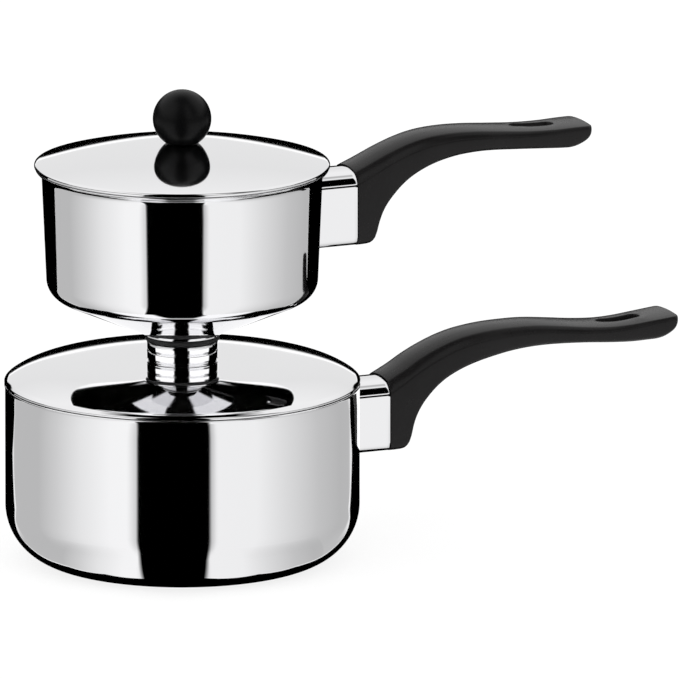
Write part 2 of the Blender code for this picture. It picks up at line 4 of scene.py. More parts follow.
import bmesh
import bpy
from bpy.props import FloatProperty, FloatVectorProperty, IntProperty, PointerProperty
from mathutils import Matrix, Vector


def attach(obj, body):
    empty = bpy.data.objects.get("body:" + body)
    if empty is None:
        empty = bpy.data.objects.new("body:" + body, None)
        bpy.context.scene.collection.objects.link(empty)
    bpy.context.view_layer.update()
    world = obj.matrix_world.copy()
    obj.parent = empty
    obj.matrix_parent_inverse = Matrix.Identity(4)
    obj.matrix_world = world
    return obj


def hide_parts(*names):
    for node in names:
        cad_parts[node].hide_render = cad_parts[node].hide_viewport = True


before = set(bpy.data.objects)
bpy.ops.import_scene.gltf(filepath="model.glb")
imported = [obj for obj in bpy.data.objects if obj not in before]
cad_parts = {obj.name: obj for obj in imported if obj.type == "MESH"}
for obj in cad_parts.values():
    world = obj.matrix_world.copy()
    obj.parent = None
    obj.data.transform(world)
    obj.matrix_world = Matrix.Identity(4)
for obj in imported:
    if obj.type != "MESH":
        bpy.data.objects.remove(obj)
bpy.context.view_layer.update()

bl_info = {
    "name": "Couscous Steamer",
    "version": (1, 0, 0),
    "blender": (4, 5, 0),
    "location": "View3D > Sidebar > Steamer",
    "description": "Builds a two-storey couscous steamer and its studio",
    "category": "Object",
}

WHITE = (1.0, 1.0, 1.0, 1.0)
BLACK = (0.0, 0.0, 0.0, 1.0)

GAP = 0.0003                    # between pieces that touch, as in the frame
PLUG_CLEARANCE = 0.0008         # round a lid's plug inside its pan
SPIGOT_CLEARANCE = 0.0004       # round the funnel's spigot inside the chimney
SPIGOT_WALL = 0.0008
ROLL = 0.42                     # radius of a lid's rolled edge, as a share of its thickness
ROLL_RISE = 1.3                 # height of the roll's upper part, in those radii
ROLL_ANGLE = 62                 # in degrees, where the crown runs into the roll
PLUG_BEND = 2.5                 # radius of the bend inside a lid's plug, in sheets
BEND_ROOM = 1.6                 # how many radii of a bend a crown's points keep away from it
LIP_LEAN = 0.0006               # height over which the boiling pan's wall leans out to its lip
LIP_START = 0.3                 # share of the lip's flare that this gives
INNER_POINT = 0.02              # height of the boiling pan's last inside wall point over its corner
RIM_BEAD = 0.6                  # radius of the funnel pan's rounded rim, in sheets
RIM_INSIDE = 0.9                # how far under that rim the inside ends, in sheets
COLLAR_HEIGHT = 0.0032          # of the hidden ring under the cover that holds the chimney
COLLAR_OVERLAP = 0.0010         # chimney that reaches below that ring
KNOB_BORE = 0.0023              # radius of the screw's hole in the ball and the lid
KNOB_BORE_DEPTH = 0.0088
CHIMNEY_BANDS = 2
BAND_STEPS = 24
BAND_BULGE = 0.0001
GROOVE_START = 0.72             # share of half a band where its groove begins
GROOVE_POWER = 1.5              # how sharply the groove deepens
FOOT_UPRIGHT = 0.6              # share of the chimney's foot that is upright
SEAL_ROUND = 0.36               # rounding of the seal, as a share of its height
FOOT_EASE = 0.0002              # rounding of the chimney's foot
GRIP_EASE = 0.0004              # rounding of the grips' ends
FERRULE_EASE = 0.00025          # rounding of the ferrules' ends
SHARP_ANGLE = 1.2               # in radians, between faces at a ferrule's ends
SHORT_EDGE = 0.01               # the edges round a ferrule's ends are shorter
HEEL = (0.004, 0.026)           # reach of a grip's heel, where its sections lie closer
SLOT_MARGIN = 0.0004            # least grip between the slot and the curved tip
ARCH_LIMIT = 0.3                # of a handle section's height, at most its arched top
CORNER_LIMIT = (0.45, 0.6)      # of its straight height and of half its width, at most a corner
TUBE_FACES = 128
BALL_FACES = 112

# A handle section's corner is an arc of nine points. After it and one point beside it come the points
# along the hanging slot
CORNER_STEPS = 8
SLOT_FIRST = CORNER_STEPS + 2
SLOT_POINTS = 7

# Lines of the grips in millimetres: reach from the root, and rise above the ferrule's top or its
# underside
GRIP_UNIT = 0.001
LOWER_GRIP_TOP = (
    (0.0, 0.6), (8.6, 5.0), (17.2, 10.0), (26.8, 14.5), (36.4, 18.0),
    (46.0, 20.3), (60.0, 21.9), (75.0, 22.2), (85.0, 21.8), (98.0, 20.3),
    (112.0, 18.5), (125.0, 17.5), (136.0, 17.7), (148.0, 18.7), (161.8, 19.9),
)
LOWER_GRIP_UNDER = (
    (0.0, 0.0), (5.0, 0.0), (8.5, 0.4), (10.5, 1.8), (11.8, 4.6),
    (12.8, 8.8), (14.6, 14.4), (18.0, 20.6), (22.0, 25.6), (27.0, 30.5),
    (33.0, 34.7), (40.0, 38.1), (48.0, 40.9), (58.0, 43.4), (70.0, 45.6),
    (82.0, 46.7), (95.0, 46.8), (110.0, 46.2), (125.0, 45.0), (137.0, 44.3),
    (148.0, 44.5), (161.8, 44.7),
)
UPPER_GRIP_TOP = (
    (0.0, 0.6), (6.0, 3.0), (12.0, 5.6), (18.0, 8.2), (24.0, 10.5),
    (30.0, 12.5), (37.0, 14.3), (45.0, 15.5), (56.0, 16.0), (68.0, 15.6),
    (82.0, 14.4), (98.0, 13.1), (112.0, 12.7), (122.0, 12.9), (131.3, 12.9),
)
UPPER_GRIP_UNDER = (
    (0.0, 0.0), (4.5, 0.0), (8.0, 0.5), (9.8, 1.9), (10.8, 4.0),
    (12.0, 8.4), (14.4, 14.6), (17.4, 19.5), (21.0, 23.8), (25.0, 27.8),
    (30.0, 31.7), (36.0, 35.1), (43.0, 38.0), (51.0, 40.2), (60.0, 41.7),
    (73.0, 42.4), (90.0, 41.7), (105.0, 40.8), (118.0, 40.1), (131.3, 40.1),
)
# Width of the grips: share of their length and share of the ferrule's width
GRIP_WIDTH = ((0.0, 1.04), (0.12, 0.99), (0.45, 0.96), (0.75, 0.98), (1.0, 1.01))
# How sharply the crowns of the cover and the lid fall away at their edges
COVER_POWER = 7.0
LID_POWER = 2.0
# Their polish: slope of its normals at the edge, and how sharply that slope grows
COVER_CROWN = (0.35, 4.0)
LID_CROWN = (0.185, 1.7)
# How level a lid's face must be for that, and the share of its radius where it ends
CROWN_LEVEL = (0.55, 0.75)
CROWN_END = (0.972, 0.988)
# Where a cloudy pattern turns into patches of haze on steel, and of rubbing on black pieces
HAZE_PART = (0.45, 0.72)
RUB_PART = (0.35, 0.70)
RUB_TONES = (0.85, 1.25)        # share of the colour that the rubbing leaves, from dark to light
LINE_DRIFT = 0.0004             # in metres, of the turning lines for each radian round
# Rim of the funnel pan: share of the band's height and share of its flare
RIM_CURVE = ((0.0, 0.0), (0.36, 0.10), (0.62, 0.38), (0.78, 0.82), (0.90, 1.0))

# What polished steel mirrors of the studio, by the angle round from the camera: brightness of the
# floor, of the screens that stand on it and of what hangs above them
FLOOR = (
    (-180, 0.72), (-150, 1.02), (-146, 1.02), (-142, 0.56), (-108, 0.57), (-90, 0.72), (-70, 0.93),
    (-48, 1.08), (-36, 1.09), (-28, 0.62), (16, 0.30), (23, 1.03), (50, 1.02), (72, 0.84),
    (100, 0.64), (125, 0.55), (140, 0.55), (144, 1.02), (150, 1.02), (180, 0.72),
)
SCREENS = (
    (-180, 0.88), (-164, 0.88), (-162, 0.0), (-102, 0.0), (-98, 0.95), (-29, 0.95), (-26, 0.0),
    (16, 0.0), (19, 0.95), (98, 0.95), (102, 0.0), (162, 0.0), (164, 0.88), (180, 0.88),
)
HANGINGS = (
    (-180, 0.88), (-150, 0.88), (-100, 0.95), (-29, 0.95), (-26, 0.0), (16, 0.0), (19, 0.95), (40, 0.95),
    (44, 0.0), (66, 0.0), (70, 0.95), (100, 0.95), (150, 0.88), (180, 0.88),
)
CEILING = (
    (-180, 1.02), (-29, 1.02), (-26, 0.0), (16, 0.0), (19, 1.02), (40, 1.02), (44, 0.0), (70, 0.0),
    (74, 1.02), (180, 1.02),
)
# What steel mirrors of it in other steel: the screens, and what hangs above them
SCREENS_AGAIN = (
    (-180, 1.3), (-164, 1.3), (-162, 0.0), (-98, 0.0), (-95, 1.4), (-28, 1.4), (-25, 0.0),
    (22, 0.0), (25, 1.4), (95, 1.4), (98, 0.0), (162, 0.0), (164, 1.3), (180, 1.3),
)
HANGINGS_AGAIN = (
    (-180, 1.2), (-162, 1.2), (-158, 0.0), (-84, 0.0), (-76, 1.4), (-32, 1.4), (-26, 0.0),
    (22, 0.0), (28, 1.4), (76, 1.4), (84, 0.0), (158, 0.0), (162, 1.2), (180, 1.2),
)
# The screens' foot is black and has a white edge: angle above the horizon and brightness
FOOT = ((-90, 0.0), (8.9, 0.0), (9.2, 1.5), (9.9, 1.5), (10.3, 1.0), (90, 1.0))
# Angles above the horizon over which one row of panels gives way to the next
LEVELS = ((-5.0, -3.0), (15.5, 17.5), (20.0, 36.0), (62.0, 72.0), (70.0, 78.0))
# Ray depths between a first reflection and the next, which the world counts one higher than a surface
WORLD_FIRST = 2.5
FLOOR_FIRST = 1.5
# Black on the floor, in metres from the steamer: painted shadow under the boiling pan, black cloth behind
# it; how far behind it and half its width
SHADOW_AND_CLOTH = (
    (-0.0785, 0.0), (-0.0770, 0.016), (-0.0670, 0.0425), (-0.049, 0.0645), (-0.029, 0.0785),
    (-0.0155, 0.0885), (0.0046, 0.1010), (0.025, 0.1175), (0.08, 0.172), (0.20, 0.238), (0.30, 0.365),
    (0.47, 0.640), (1.0, 1.45), (2.0, 3.0),
)
SHADOW_AND_CLOTH_WIDEST = 3.0
SHADOW_AND_CLOTH_SPAN = (-0.1, 2.0)        # from before the painted shadow begins to the cloth's far end
# White edge of that black: where it begins and its width, near the steamer and further off
EDGE_START = -0.0798
EDGE_WIDTH = ((0.005, 0.0013), (0.08, 0.010))
# Strip of black cloth in front of the steamer. For each side: its direction, how much it opens for each
# metre ahead, how far in it starts, and how much more it opens for rays from high up a pan
STRIP = ((1.0, 0.541, 0.0252, 0.38), (-1.0, 0.313, 0.0143, 0.20))
STRIP_START = 0.04
STRIP_BLUR = 0.030              # width of the strip's soft sides for each metre ahead
LEAST_BLUR = 0.002
RAY_REACH = (0.865, 0.08)       # how far ahead a ray from low down lands: share of its length, and more
# Floor that the boiling pan's round foot mirrors: how far out it is whole and where it ends
FOOT_FLOOR = (0.100, 0.135)
FOOT_TURN = 140.0               # the furthest angle of the floor's shades that the foot shows

FLOOR_HALF = 3.0                # half the floor's width
FLOOR_SHADED = (0.20, 0.20, 0.20, 1.0)      # the part of the floor's white that takes shadows
FLOOR_GLOW = 0.84               # the part that doesn't
SENSOR_WIDTH = 36.0
CAMERA_NEARER = 0.04
LAMP_SIZE = 1.2
LAMP_PLACE = (-0.25, -0.35, 1.3)
LAMP_AIM = (0.05, 0.0, 0.1)


# Properties

def length(name, default, description):
    """A distance in metres that the sidebar shows."""
    return FloatProperty(name=name, description=description, default=default, min=0.0,
                         unit="LENGTH", subtype="DISTANCE", precision=4)


def colour(name, default, description):
    """A colour that the sidebar shows."""
    return FloatVectorProperty(name=name, description=description, default=default, size=3,
                               min=0.0, max=1.0, subtype="COLOR")


def share(name, default, description):
    """A value from 0 to 1 that the sidebar shows."""
    return FloatProperty(name=name, description=description, default=default, min=0.0, max=1.0,
                         subtype="FACTOR")


def angle(name, default, description):
    """An angle that the sidebar shows in degrees."""
    return FloatProperty(name=name, description=description, default=math.radians(default),
                         unit="ROTATION", subtype="ANGLE")


class STEAMER_PG_pans(bpy.types.PropertyGroup):
    """Sizes of both pans"""
    lower_radius: length("Lower radius", 0.0902, "Outside radius of the boiling pan")
    lower_height: length("Lower height", 0.0923, "Height of the boiling pan's rim")
    lower_corner: length("Lower corner", 0.0300, "Rounding between the boiling pan's base and wall")
    lower_base: length("Base thickness", 0.0030, "Thickness of the boiling pan's base")
    wall: length("Wall", 0.0009, "Sheet thickness of both pans")
    lip_flare: length("Lip flare", 0.0004, "How far the boiling pan's lip stands out")
    lip_height: length("Lip height", 0.0012, "Height of the boiling pan's lip")
    upper_radius: length("Upper radius", 0.0713, "Outside radius of the funnel pan under its rim")
    foot_radius: length("Foot radius", 0.0691, "Outside radius of the funnel pan's wall at its corner")
    upper_height: length("Upper height", 0.0870, "Height of the funnel pan from its seal to its rim")
    upper_corner: length("Upper corner", 0.0110, "Rounding between funnel and wall")
    funnel_angle: angle("Funnel angle", 23.4, "Slope of the funnel")
    neck_radius: length("Neck radius", 0.0193, "Outside radius of the lip that rests on the seal")
    neck_height: length("Neck height", 0.0009, "Height of the lip that rests on the seal")
    spigot_length: length("Spigot length", 0.0085, "How far the funnel reaches into the chimney")
    rim_height: length("Rim height", 0.0057, "Height of the flared band under the rim")
    rim_flare: length("Rim flare", 0.0032, "How far the rim stands out")
    faces: IntProperty(name="Faces", description="Faces round a pan", default=224, min=24)


class STEAMER_PG_lids(bpy.types.PropertyGroup):
    """Sizes of the cover, the chimney and the lid"""
    cover_radius: length("Cover radius", 0.0906, "Radius of the boiling pan's cover")
    cover_rise: length("Cover rise", 0.0100, "Rise of the cover above its edge")
    cover_edge: length("Cover edge", 0.0014, "Thickness of the cover's rolled edge")
    cover_plug: length("Cover plug", 0.0060, "How deep the cover drops into the pan")
    lid_radius: length("Lid radius", 0.0752, "Radius of the lid")
    lid_rise: length("Lid rise", 0.0107, "Rise of the lid above its edge")
    lid_edge: length("Lid edge", 0.0019, "Thickness of the lid's rolled edge")
    lid_plug: length("Lid plug", 0.0048, "How deep the lid drops into the pan")
    sheet: length("Sheet", 0.0008, "Sheet thickness of the cover and the lid")
    chimney_radius: length("Chimney radius", 0.0181, "Outside radius of the chimney's bands")
    chimney_bore: length("Chimney bore", 0.0150, "Inside radius of the chimney")
    chimney_spigot: length("Chimney spigot", 0.0165, "Radius of the chimney inside the cover")
    chimney_foot: length("Chimney foot", 0.0009, "Height of the plain edge that stands on the cover")
    band_pitch: length("Band pitch", 0.0047, "Height of each of the chimney's two bands")
    groove_depth: length("Groove depth", 0.0008, "Depth of the grooves beside the bands")
    seal_radius: length("Seal radius", 0.0189, "Radius of the seal ring")
    seal_height: length("Seal height", 0.0023, "Height of the seal ring")
    ball_radius: length("Ball radius", 0.0149, "Radius of the lid's ball knob")
    ball_foot: length("Ball foot", 0.0085, "Radius of the flat under the ball knob")


class STEAMER_PG_handles(bpy.types.PropertyGroup):
    """Sizes of both handles"""
    lower_drop: length("Lower drop", 0.0247, "From the boiling pan's rim to its ferrule's middle")
    lower_height: length("Lower height", 0.0368, "Height of the boiling pan's ferrule")
    lower_ferrule: length("Lower ferrule", 0.0191, "Length of the boiling pan's ferrule")
    lower_grip: length("Lower grip", 0.1618, "Length of the boiling pan's grip")
    upper_drop: length("Upper drop", 0.0268, "From the funnel pan's rim to its ferrule's middle")
    upper_height: length("Upper height", 0.0386, "Height of the funnel pan's ferrule")
    upper_ferrule: length("Upper ferrule", 0.0207, "Length of the funnel pan's ferrule")
    upper_grip: length("Upper grip", 0.1313, "Length of the funnel pan's grip")
    width: length("Width", 0.0290, "Width of the ferrules")
    crown: length("Crown", 0.0030, "Arch of the top face at the root")
    shoulder: length("Shoulder", 0.0050, "Rounding of the top corners at the root")
    foot: length("Foot", 0.0042, "Rounding of the bottom corners")
    tip_crown: length("Tip crown", 0.0007, "Arch of the top face at the tip")
    tip_shoulder: length("Tip shoulder", 0.0016, "Rounding of the top corners at the tip")
    tip_length: length("Tip length", 0.0130, "Over which the underside curves up to the end")
    tip_edge: length("Tip edge", 0.0028, "Thickness left at the end")
    tip_corner: length("Tip corner", 0.0024, "Rounding of the end in plan")
    ferrule_wall: length("Ferrule wall", 0.0010, "Sheet thickness of the ferrules")
    slot_length: length("Slot length", 0.0240, "Length of the hanging slots")
    slot_width: length("Slot width", 0.0080, "Width of the hanging slots")
    slot_to_tip: length("Slot to tip", 0.0163, "From the end of the slot to the end of the grip")
    slot_round: length("Slot rounding", 0.0006, "Rounding of the slot's rim")


class STEAMER_PG_finishes(bpy.types.PropertyGroup):
    """Colours and finishes"""
    mirror_colour: colour("Mirror steel", (0.83, 0.83, 0.84), "Colour of the polished steel")
    mirror_roughness: share("Mirror roughness", 0.035, "Blur of the polished steel")
    satin_colour: colour("Satin steel", (0.62, 0.62, 0.63), "Colour of the brushed steel")
    satin_roughness: share("Satin roughness", 0.26, "Blur of the brushed steel")
    bakelite_colour: colour("Bakelite", (0.0098, 0.0092, 0.0094), "Colour of the grips")
    ball_colour: colour("Ball", (0.0025, 0.0025, 0.0027), "Colour of the ball knob")
    bakelite_roughness: share("Bakelite roughness", 0.27, "Blur of the grips")
    ball_roughness: share("Ball roughness", 0.36, "Blur of the ball knob")
    silicone_colour: colour("Silicone", (0.015, 0.015, 0.016), "Colour of the seal ring")


class STEAMER_PG_studio(bpy.types.PropertyGroup):
    """Camera and light"""
    azimuth: angle("Azimuth", -24.0, "Camera's angle round the object")
    elevation: angle("Elevation", 12.6, "Camera's angle above the horizon")
    view_width: length("View width", 0.34625, "Width of what the camera sees at the object")
    lens: FloatProperty(name="Lens", description="Focal length in millimetres, long for a flat view",
                        default=1600.0, min=50.0, unit="CAMERA")
    aim: FloatVectorProperty(name="Aim", description="Point in the middle of the picture", size=3,
                             default=(0.0748, -0.0285, 0.1137), unit="LENGTH", subtype="TRANSLATION")
    floor_colour: colour("Floor", (0.90, 0.90, 0.90), "Colour of the floor")
    lamp_power: FloatProperty(name="Lamp power", description="Power of the overhead soft lamp in watts",
                              default=1.6, min=0.0)


GROUPS = {
    "steamer_pans": STEAMER_PG_pans,
    "steamer_lids": STEAMER_PG_lids,
    "steamer_handles": STEAMER_PG_handles,
    "steamer_finishes": STEAMER_PG_finishes,
    "steamer_studio": STEAMER_PG_studio,
}


# Lines

def arc(centre, radii, start, end, steps):
    """Points along an ellipse's arc, angles in degrees from +radius towards +height."""
    angles = [math.radians(start + (end - start) * step / steps) for step in range(steps + 1)]
    return [(centre[0] + radii[0] * math.cos(turn), centre[1] + radii[1] * math.sin(turn))
            for turn in angles]


def offset(line, distance):
    """The line moved sideways by a sheet's thickness, to the left of its direction."""
    moved = []
    for index, point in enumerate(line):
        before = Vector(line[max(index - 1, 0)])
        after = Vector(line[min(index + 1, len(line) - 1)])
        here = Vector(point)
        sides = [Vector((-step.y, step.x)).normalized()
                 for step in (here - before, after - here) if step.length > 1e-9]
        normal = sum(sides, Vector((0, 0))).normalized()
        moved.append(tuple(here + normal * distance / max(normal.dot(sides[0]), 0.5)))
    return moved


def smooth_value(table, place):
    """Read a table of (place, value) rows anywhere along it, on a smooth curve through the rows."""
    last = len(table) - 1
    row = min(sum(1 for entry in table[1:] if entry[0] <= place), last - 1)
    rows = [table[min(max(row + step, 0), last)] for step in (-1, 0, 1, 2)]
    span = rows[2][0] - rows[1][0]
    part = (place - rows[1][0]) / span
    slopes = [(high[1] - low[1]) / (high[0] - low[0]) * span
              for low, high in ((rows[0], rows[2]), (rows[1], rows[3]))]
    square, cube = part ** 2, part ** 3
    return (rows[1][1] * (2 * cube - 3 * square + 1) + slopes[0] * (cube - 2 * square + part)
            + rows[2][1] * (3 * square - 2 * cube) + slopes[1] * (cube - square))


def spaced(start, end, steps):
    """Evenly spaced values, both ends among them."""
    return [start + (end - start) * step / steps for step in range(steps + 1)]


# Meshes

def turned(outline, faces):
    """Spin an outline of (radius, height) points round Z. It ends on the axis or closes on itself."""
    shape = bmesh.new()
    ring = [shape.verts.new((radius, 0, height)) for radius, height in outline]
    edges = [shape.edges.new(pair) for pair in zip(ring, ring[1:])]
    if outline[0][0] > 0 or outline[-1][0] > 0:
        edges.append(shape.edges.new((ring[-1], ring[0])))
    bmesh.ops.spin(shape, geom=ring + edges, cent=(0, 0, 0), axis=(0, 0, 1), angle=math.tau,
                   steps=faces, use_merge=True)
    bmesh.ops.remove_doubles(shape, verts=shape.verts, dist=1e-7)
    bmesh.ops.recalc_face_normals(shape, faces=shape.faces)
    return shape


def line_inside(shape, middle):
    """Give the second finish to the faces that look towards a point inside a pan or under a lid."""
    for face in shape.faces:
        if face.normal.dot(Vector(middle) - face.calc_center_median()) > 0:
            face.material_index = 1


def piece(name, shape, materials, body, nodes, sharp=28):
    """Turn a bmesh into a smooth-shaded piece that stands for its CAD nodes and rides on their body."""
    mesh = bpy.data.meshes.new(name)
    shape.to_mesh(mesh)
    shape.free()
    mesh.shade_smooth()
    mesh.set_sharp_from_angle(angle=math.radians(sharp))
    for finish in materials:
        mesh.materials.append(finish)
    result = bpy.data.objects.new(name, mesh)
    bpy.context.scene.collection.objects.link(result)
    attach(result, body)
    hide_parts(*nodes)
    return result


def eased(shape, edges, offset, segments):
    """Round edges over."""
    bmesh.ops.bevel(shape, geom=edges, offset=offset, offset_type="OFFSET", segments=segments,
                    profile=0.5, affect="EDGES", material=-1, clamp_overlap=True)


def drawn(rings):
    """Extrude the first ring of points through all the others. Corners keep their ring and place."""
    shape = bmesh.new()
    place = shape.verts.layers.int.new("place")
    station = shape.verts.layers.int.new("station")
    corners = [shape.verts.new(point) for point in rings[0]]
    for index, corner in enumerate(corners):
        corner[place] = index
    edges = [shape.edges.new(pair) for pair in zip(corners, corners[1:] + corners[:1])]
    for number, points in enumerate(rings[1:], 1):
        grown = bmesh.ops.extrude_edge_only(shape, edges=edges)["geom"]
        edges = [item for item in grown if isinstance(item, bmesh.types.BMEdge) and item.is_boundary]
        for corner in [item for item in grown if isinstance(item, bmesh.types.BMVert)]:
            corner.co = points[corner[place]]
            corner[station] = number
    return shape


# Finishes

def wire(tree, source, target):
    """Link a socket, or write a plain value into it."""
    if isinstance(source, bpy.types.NodeSocket):
        tree.links.new(source, target)
    else:
        target.default_value = source


def add(tree, kind, inputs=(), **settings):
    """Add a node with its settings and its inputs by name or number."""
    made = tree.nodes.new(kind)
    for key, value in settings.items():
        setattr(made, key, value)
    for key, value in dict(inputs).items():
        wire(tree, value, made.inputs[key])
    return made


def calc(tree, operation, *values):
    """A Math node's result."""
    return add(tree, "ShaderNodeMath", dict(enumerate(values)), operation=operation).outputs[0]


def vector(tree, operation, *values):
    """A Vector Math node's result, which is a number for lengths and dot products."""
    made = add(tree, "ShaderNodeVectorMath", dict(enumerate(values)), operation=operation)
    return made.outputs["Value" if operation in ("LENGTH", "DOT_PRODUCT") else "Vector"]


def surface(tree, kind, *values):
    """The result of a shader node with its inputs in order."""
    return add(tree, "ShaderNode" + kind, dict(enumerate(values))).outputs[0]


def fade(tree, value, start, end, low=0.0, high=1.0):
    """A value that goes evenly from low to high between two places."""
    return add(tree, "ShaderNodeMapRange", {0: value, 1: start, 2: end, 3: low, 4: high}).outputs[0]


def blend(tree, factor, first, second):
    """Two colours mixed."""
    return add(tree, "ShaderNodeMix", {"Factor": factor, 6: first, 7: second}, data_type="RGBA").outputs[2]


def noise(tree, place, scale, detail, roughness):
    """A cloudy pattern."""
    return add(tree, "ShaderNodeTexNoise", {"Vector": place, "Scale": scale, "Detail": detail,
                                            "Roughness": roughness}).outputs["Fac"]


def own_place(tree):
    """The place in the object's own metres."""
    return add(tree, "ShaderNodeTexCoord").outputs["Object"]


def round_place(tree):
    """Coordinates that follow a turned surface: distance from the axis, height and a little angle."""
    spot = own_place(tree)
    x, y, z = add(tree, "ShaderNodeSeparateXYZ", {0: spot}).outputs
    reach = vector(tree, "LENGTH", vector(tree, "MULTIPLY", spot, (1.0, 1.0, 0.0)))
    turn = calc(tree, "MULTIPLY", calc(tree, "ARCTAN2", y, x), LINE_DRIFT)
    return add(tree, "ShaderNodeCombineXYZ", {0: reach, 1: z, 2: turn}).outputs[0]


def group(name, inputs, outputs, kind="NodeSocketFloat"):
    """An empty shader group with number inputs, outputs of one kind, its input and output nodes."""
    tree = bpy.data.node_groups.new(name, "ShaderNodeTree")
    for label, default in inputs.items():
        tree.interface.new_socket(name=label, in_out="INPUT", socket_type="NodeSocketFloat")
        tree.interface.items_tree[label].default_value = default
    for label in outputs:
        tree.interface.new_socket(name=label, in_out="OUTPUT", socket_type=kind)
    return tree, tree.nodes.new("NodeGroupInput").outputs, tree.nodes.new("NodeGroupOutput").inputs


def shared(tree, name, build, inputs):
    """Outputs of a shader group with its inputs by name. The group is built when it is first asked for."""
    shape = bpy.data.node_groups.get(name) or build(name)
    return add(tree, "ShaderNodeGroup", inputs, node_tree=shape).outputs


def polish_group(name):
    """Fine turning lines and a faint haze, for polished and satin steel alike."""
    tree, given, made = group(name, {"Roughness": 0.04, "Haze": 0.02, "Lines": 2600.0, "Line haze": 0.01},
                              ("Roughness", "Height"))
    lines = noise(tree, round_place(tree), given["Lines"], detail=3.0, roughness=0.6)
    cloud = noise(tree, own_place(tree), 26.0, detail=4.0, roughness=0.55)
    patch = fade(tree, cloud, *HAZE_PART)
    rough = calc(tree, "MULTIPLY_ADD", patch, given["Haze"], given["Roughness"])
    wire(tree, calc(tree, "MULTIPLY_ADD", lines, given["Line haze"], rough), made["Roughness"])
    wire(tree, lines, made["Height"])
    return tree


def crown_group(name):
    """Normals of a lid's crown that is polished flatter than it is pressed, up to its rolled edge."""
    tree, given, made = group(name, {"Slope": 0.4, "Power": 5.0, "Radius": 0.09}, ("Normal",),
                              "NodeSocketVector")
    flat = vector(tree, "MULTIPLY", own_place(tree), (1.0, 1.0, 0.0))
    part = calc(tree, "DIVIDE", vector(tree, "LENGTH", flat), given["Radius"])
    slope = calc(tree, "MULTIPLY", calc(tree, "POWER", part, given["Power"]), given["Slope"])
    lean = vector(tree, "MULTIPLY", vector(tree, "NORMALIZE", flat), slope)
    calm = add(tree, "ShaderNodeVectorTransform", {0: vector(tree, "ADD", lean, (0.0, 0.0, 1.0))},
               vector_type="NORMAL", convert_from="OBJECT", convert_to="WORLD").outputs[0]
    true = add(tree, "ShaderNodeNewGeometry").outputs["Normal"]
    level = fade(tree, add(tree, "ShaderNodeSeparateXYZ", {0: true}).outputs[2], *CROWN_LEVEL)
    inner = fade(tree, part, *CROWN_END, 1.0, 0.0)
    mixed = add(tree, "ShaderNodeMix", {"Factor": calc(tree, "MULTIPLY", level, inner), 4: true, 5: calm},
                data_type="VECTOR").outputs[1]
    wire(tree, vector(tree, "NORMALIZE", mixed), made["Normal"])
    return tree


def skin_group(name):
    """The fine skin of a moulded black piece, rubbed smoother in patches."""
    tree, given, made = group(name, {"Roughness": 0.34, "Rub": 0.08, "Grain": 2400.0},
                              ("Roughness", "Height", "Tone"))
    cloud = noise(tree, own_place(tree), 34.0, detail=5.0, roughness=0.6)
    patch = fade(tree, cloud, *RUB_PART, -1.0, 1.0)
    wire(tree, calc(tree, "MULTIPLY_ADD", patch, given["Rub"], given["Roughness"]), made["Roughness"])
    grain = noise(tree, own_place(tree), given["Grain"], detail=2.0, roughness=0.5)
    wire(tree, grain, made["Height"])
    wire(tree, patch, made["Tone"])
    return tree


def new_material(name, base, metallic):
    """A material with a Principled shader of one plain colour: itself, its nodes, the shader's inputs."""
    made = bpy.data.materials.new(name)
    made.use_nodes = True
    inputs = made.node_tree.nodes["Principled BSDF"].inputs
    inputs["Base Color"].default_value = (*base, 1.0)
    inputs["Metallic"].default_value = metallic
    made.diffuse_color = (*base, 1.0)
    return made, made.node_tree, inputs


def steel(name, base, roughness, haze, lines, line_haze, bump, crown=None):
    """Steel with turning lines and haze, built once for each name, on a flattened crown if one is given."""
    if name in bpy.data.materials:
        return bpy.data.materials[name]
    made, tree, inputs = new_material(name, base, 1.0)
    marks = shared(tree, "Polish", polish_group,
                   {"Roughness": roughness, "Haze": haze, "Lines": lines, "Line haze": line_haze})
    wire(tree, marks["Roughness"], inputs["Roughness"])
    relief = {"Strength": 1.0, "Distance": bump, "Height": marks["Height"]}
    if crown:
        sizes = dict(zip(("Slope", "Power", "Radius"), crown))
        relief["Normal"] = shared(tree, "Crown", crown_group, sizes)["Normal"]
    wire(tree, add(tree, "ShaderNodeBump", relief).outputs[0], inputs["Normal"])
    return made


def mirror_steel(name="Mirror steel", crown=None):
    """The polished outside of the pans, their lids and the ferrules."""
    finish = bpy.context.scene.steamer_finishes
    return steel(name, finish.mirror_colour, finish.mirror_roughness, haze=0.012, lines=2600.0,
                 line_haze=0.008, bump=1e-8, crown=crown)


def satin_steel():
    """The brushed inside of the pans and their small hidden pieces."""
    finish = bpy.context.scene.steamer_finishes
    return steel("Satin steel", finish.satin_colour, finish.satin_roughness, haze=0.05, lines=1900.0,
                 line_haze=0.14, bump=1.2e-6)


def moulded(name, base, roughness, rub, grain, bump, specular):
    """Black moulded plastic or rubber with a fine skin, built once for each name."""
    if name in bpy.data.materials:
        return bpy.data.materials[name]
    made, tree, inputs = new_material(name, base, 0.0)
    inputs["IOR"].default_value = 1.5
    inputs["Specular IOR Level"].default_value = specular
    skin = shared(tree, "Moulded skin", skin_group, {"Roughness": roughness, "Rub": rub, "Grain": grain})
    wire(tree, skin["Roughness"], inputs["Roughness"])
    dark, light = ((*(value * level for value in base), 1.0) for level in RUB_TONES)
    tone = calc(tree, "MULTIPLY_ADD", skin["Tone"], 0.5, 0.5)
    wire(tree, blend(tree, tone, dark, light), inputs["Base Color"])
    relief = {"Strength": 1.0, "Distance": bump, "Height": skin["Height"]}
    wire(tree, add(tree, "ShaderNodeBump", relief).outputs[0], inputs["Normal"])
    return made


def bakelite():
    """The grips' satin black bakelite."""
    finish = bpy.context.scene.steamer_finishes
    return moulded("Bakelite", finish.bakelite_colour, finish.bakelite_roughness, rub=0.03,
                   grain=2400.0, bump=6e-6, specular=0.165)


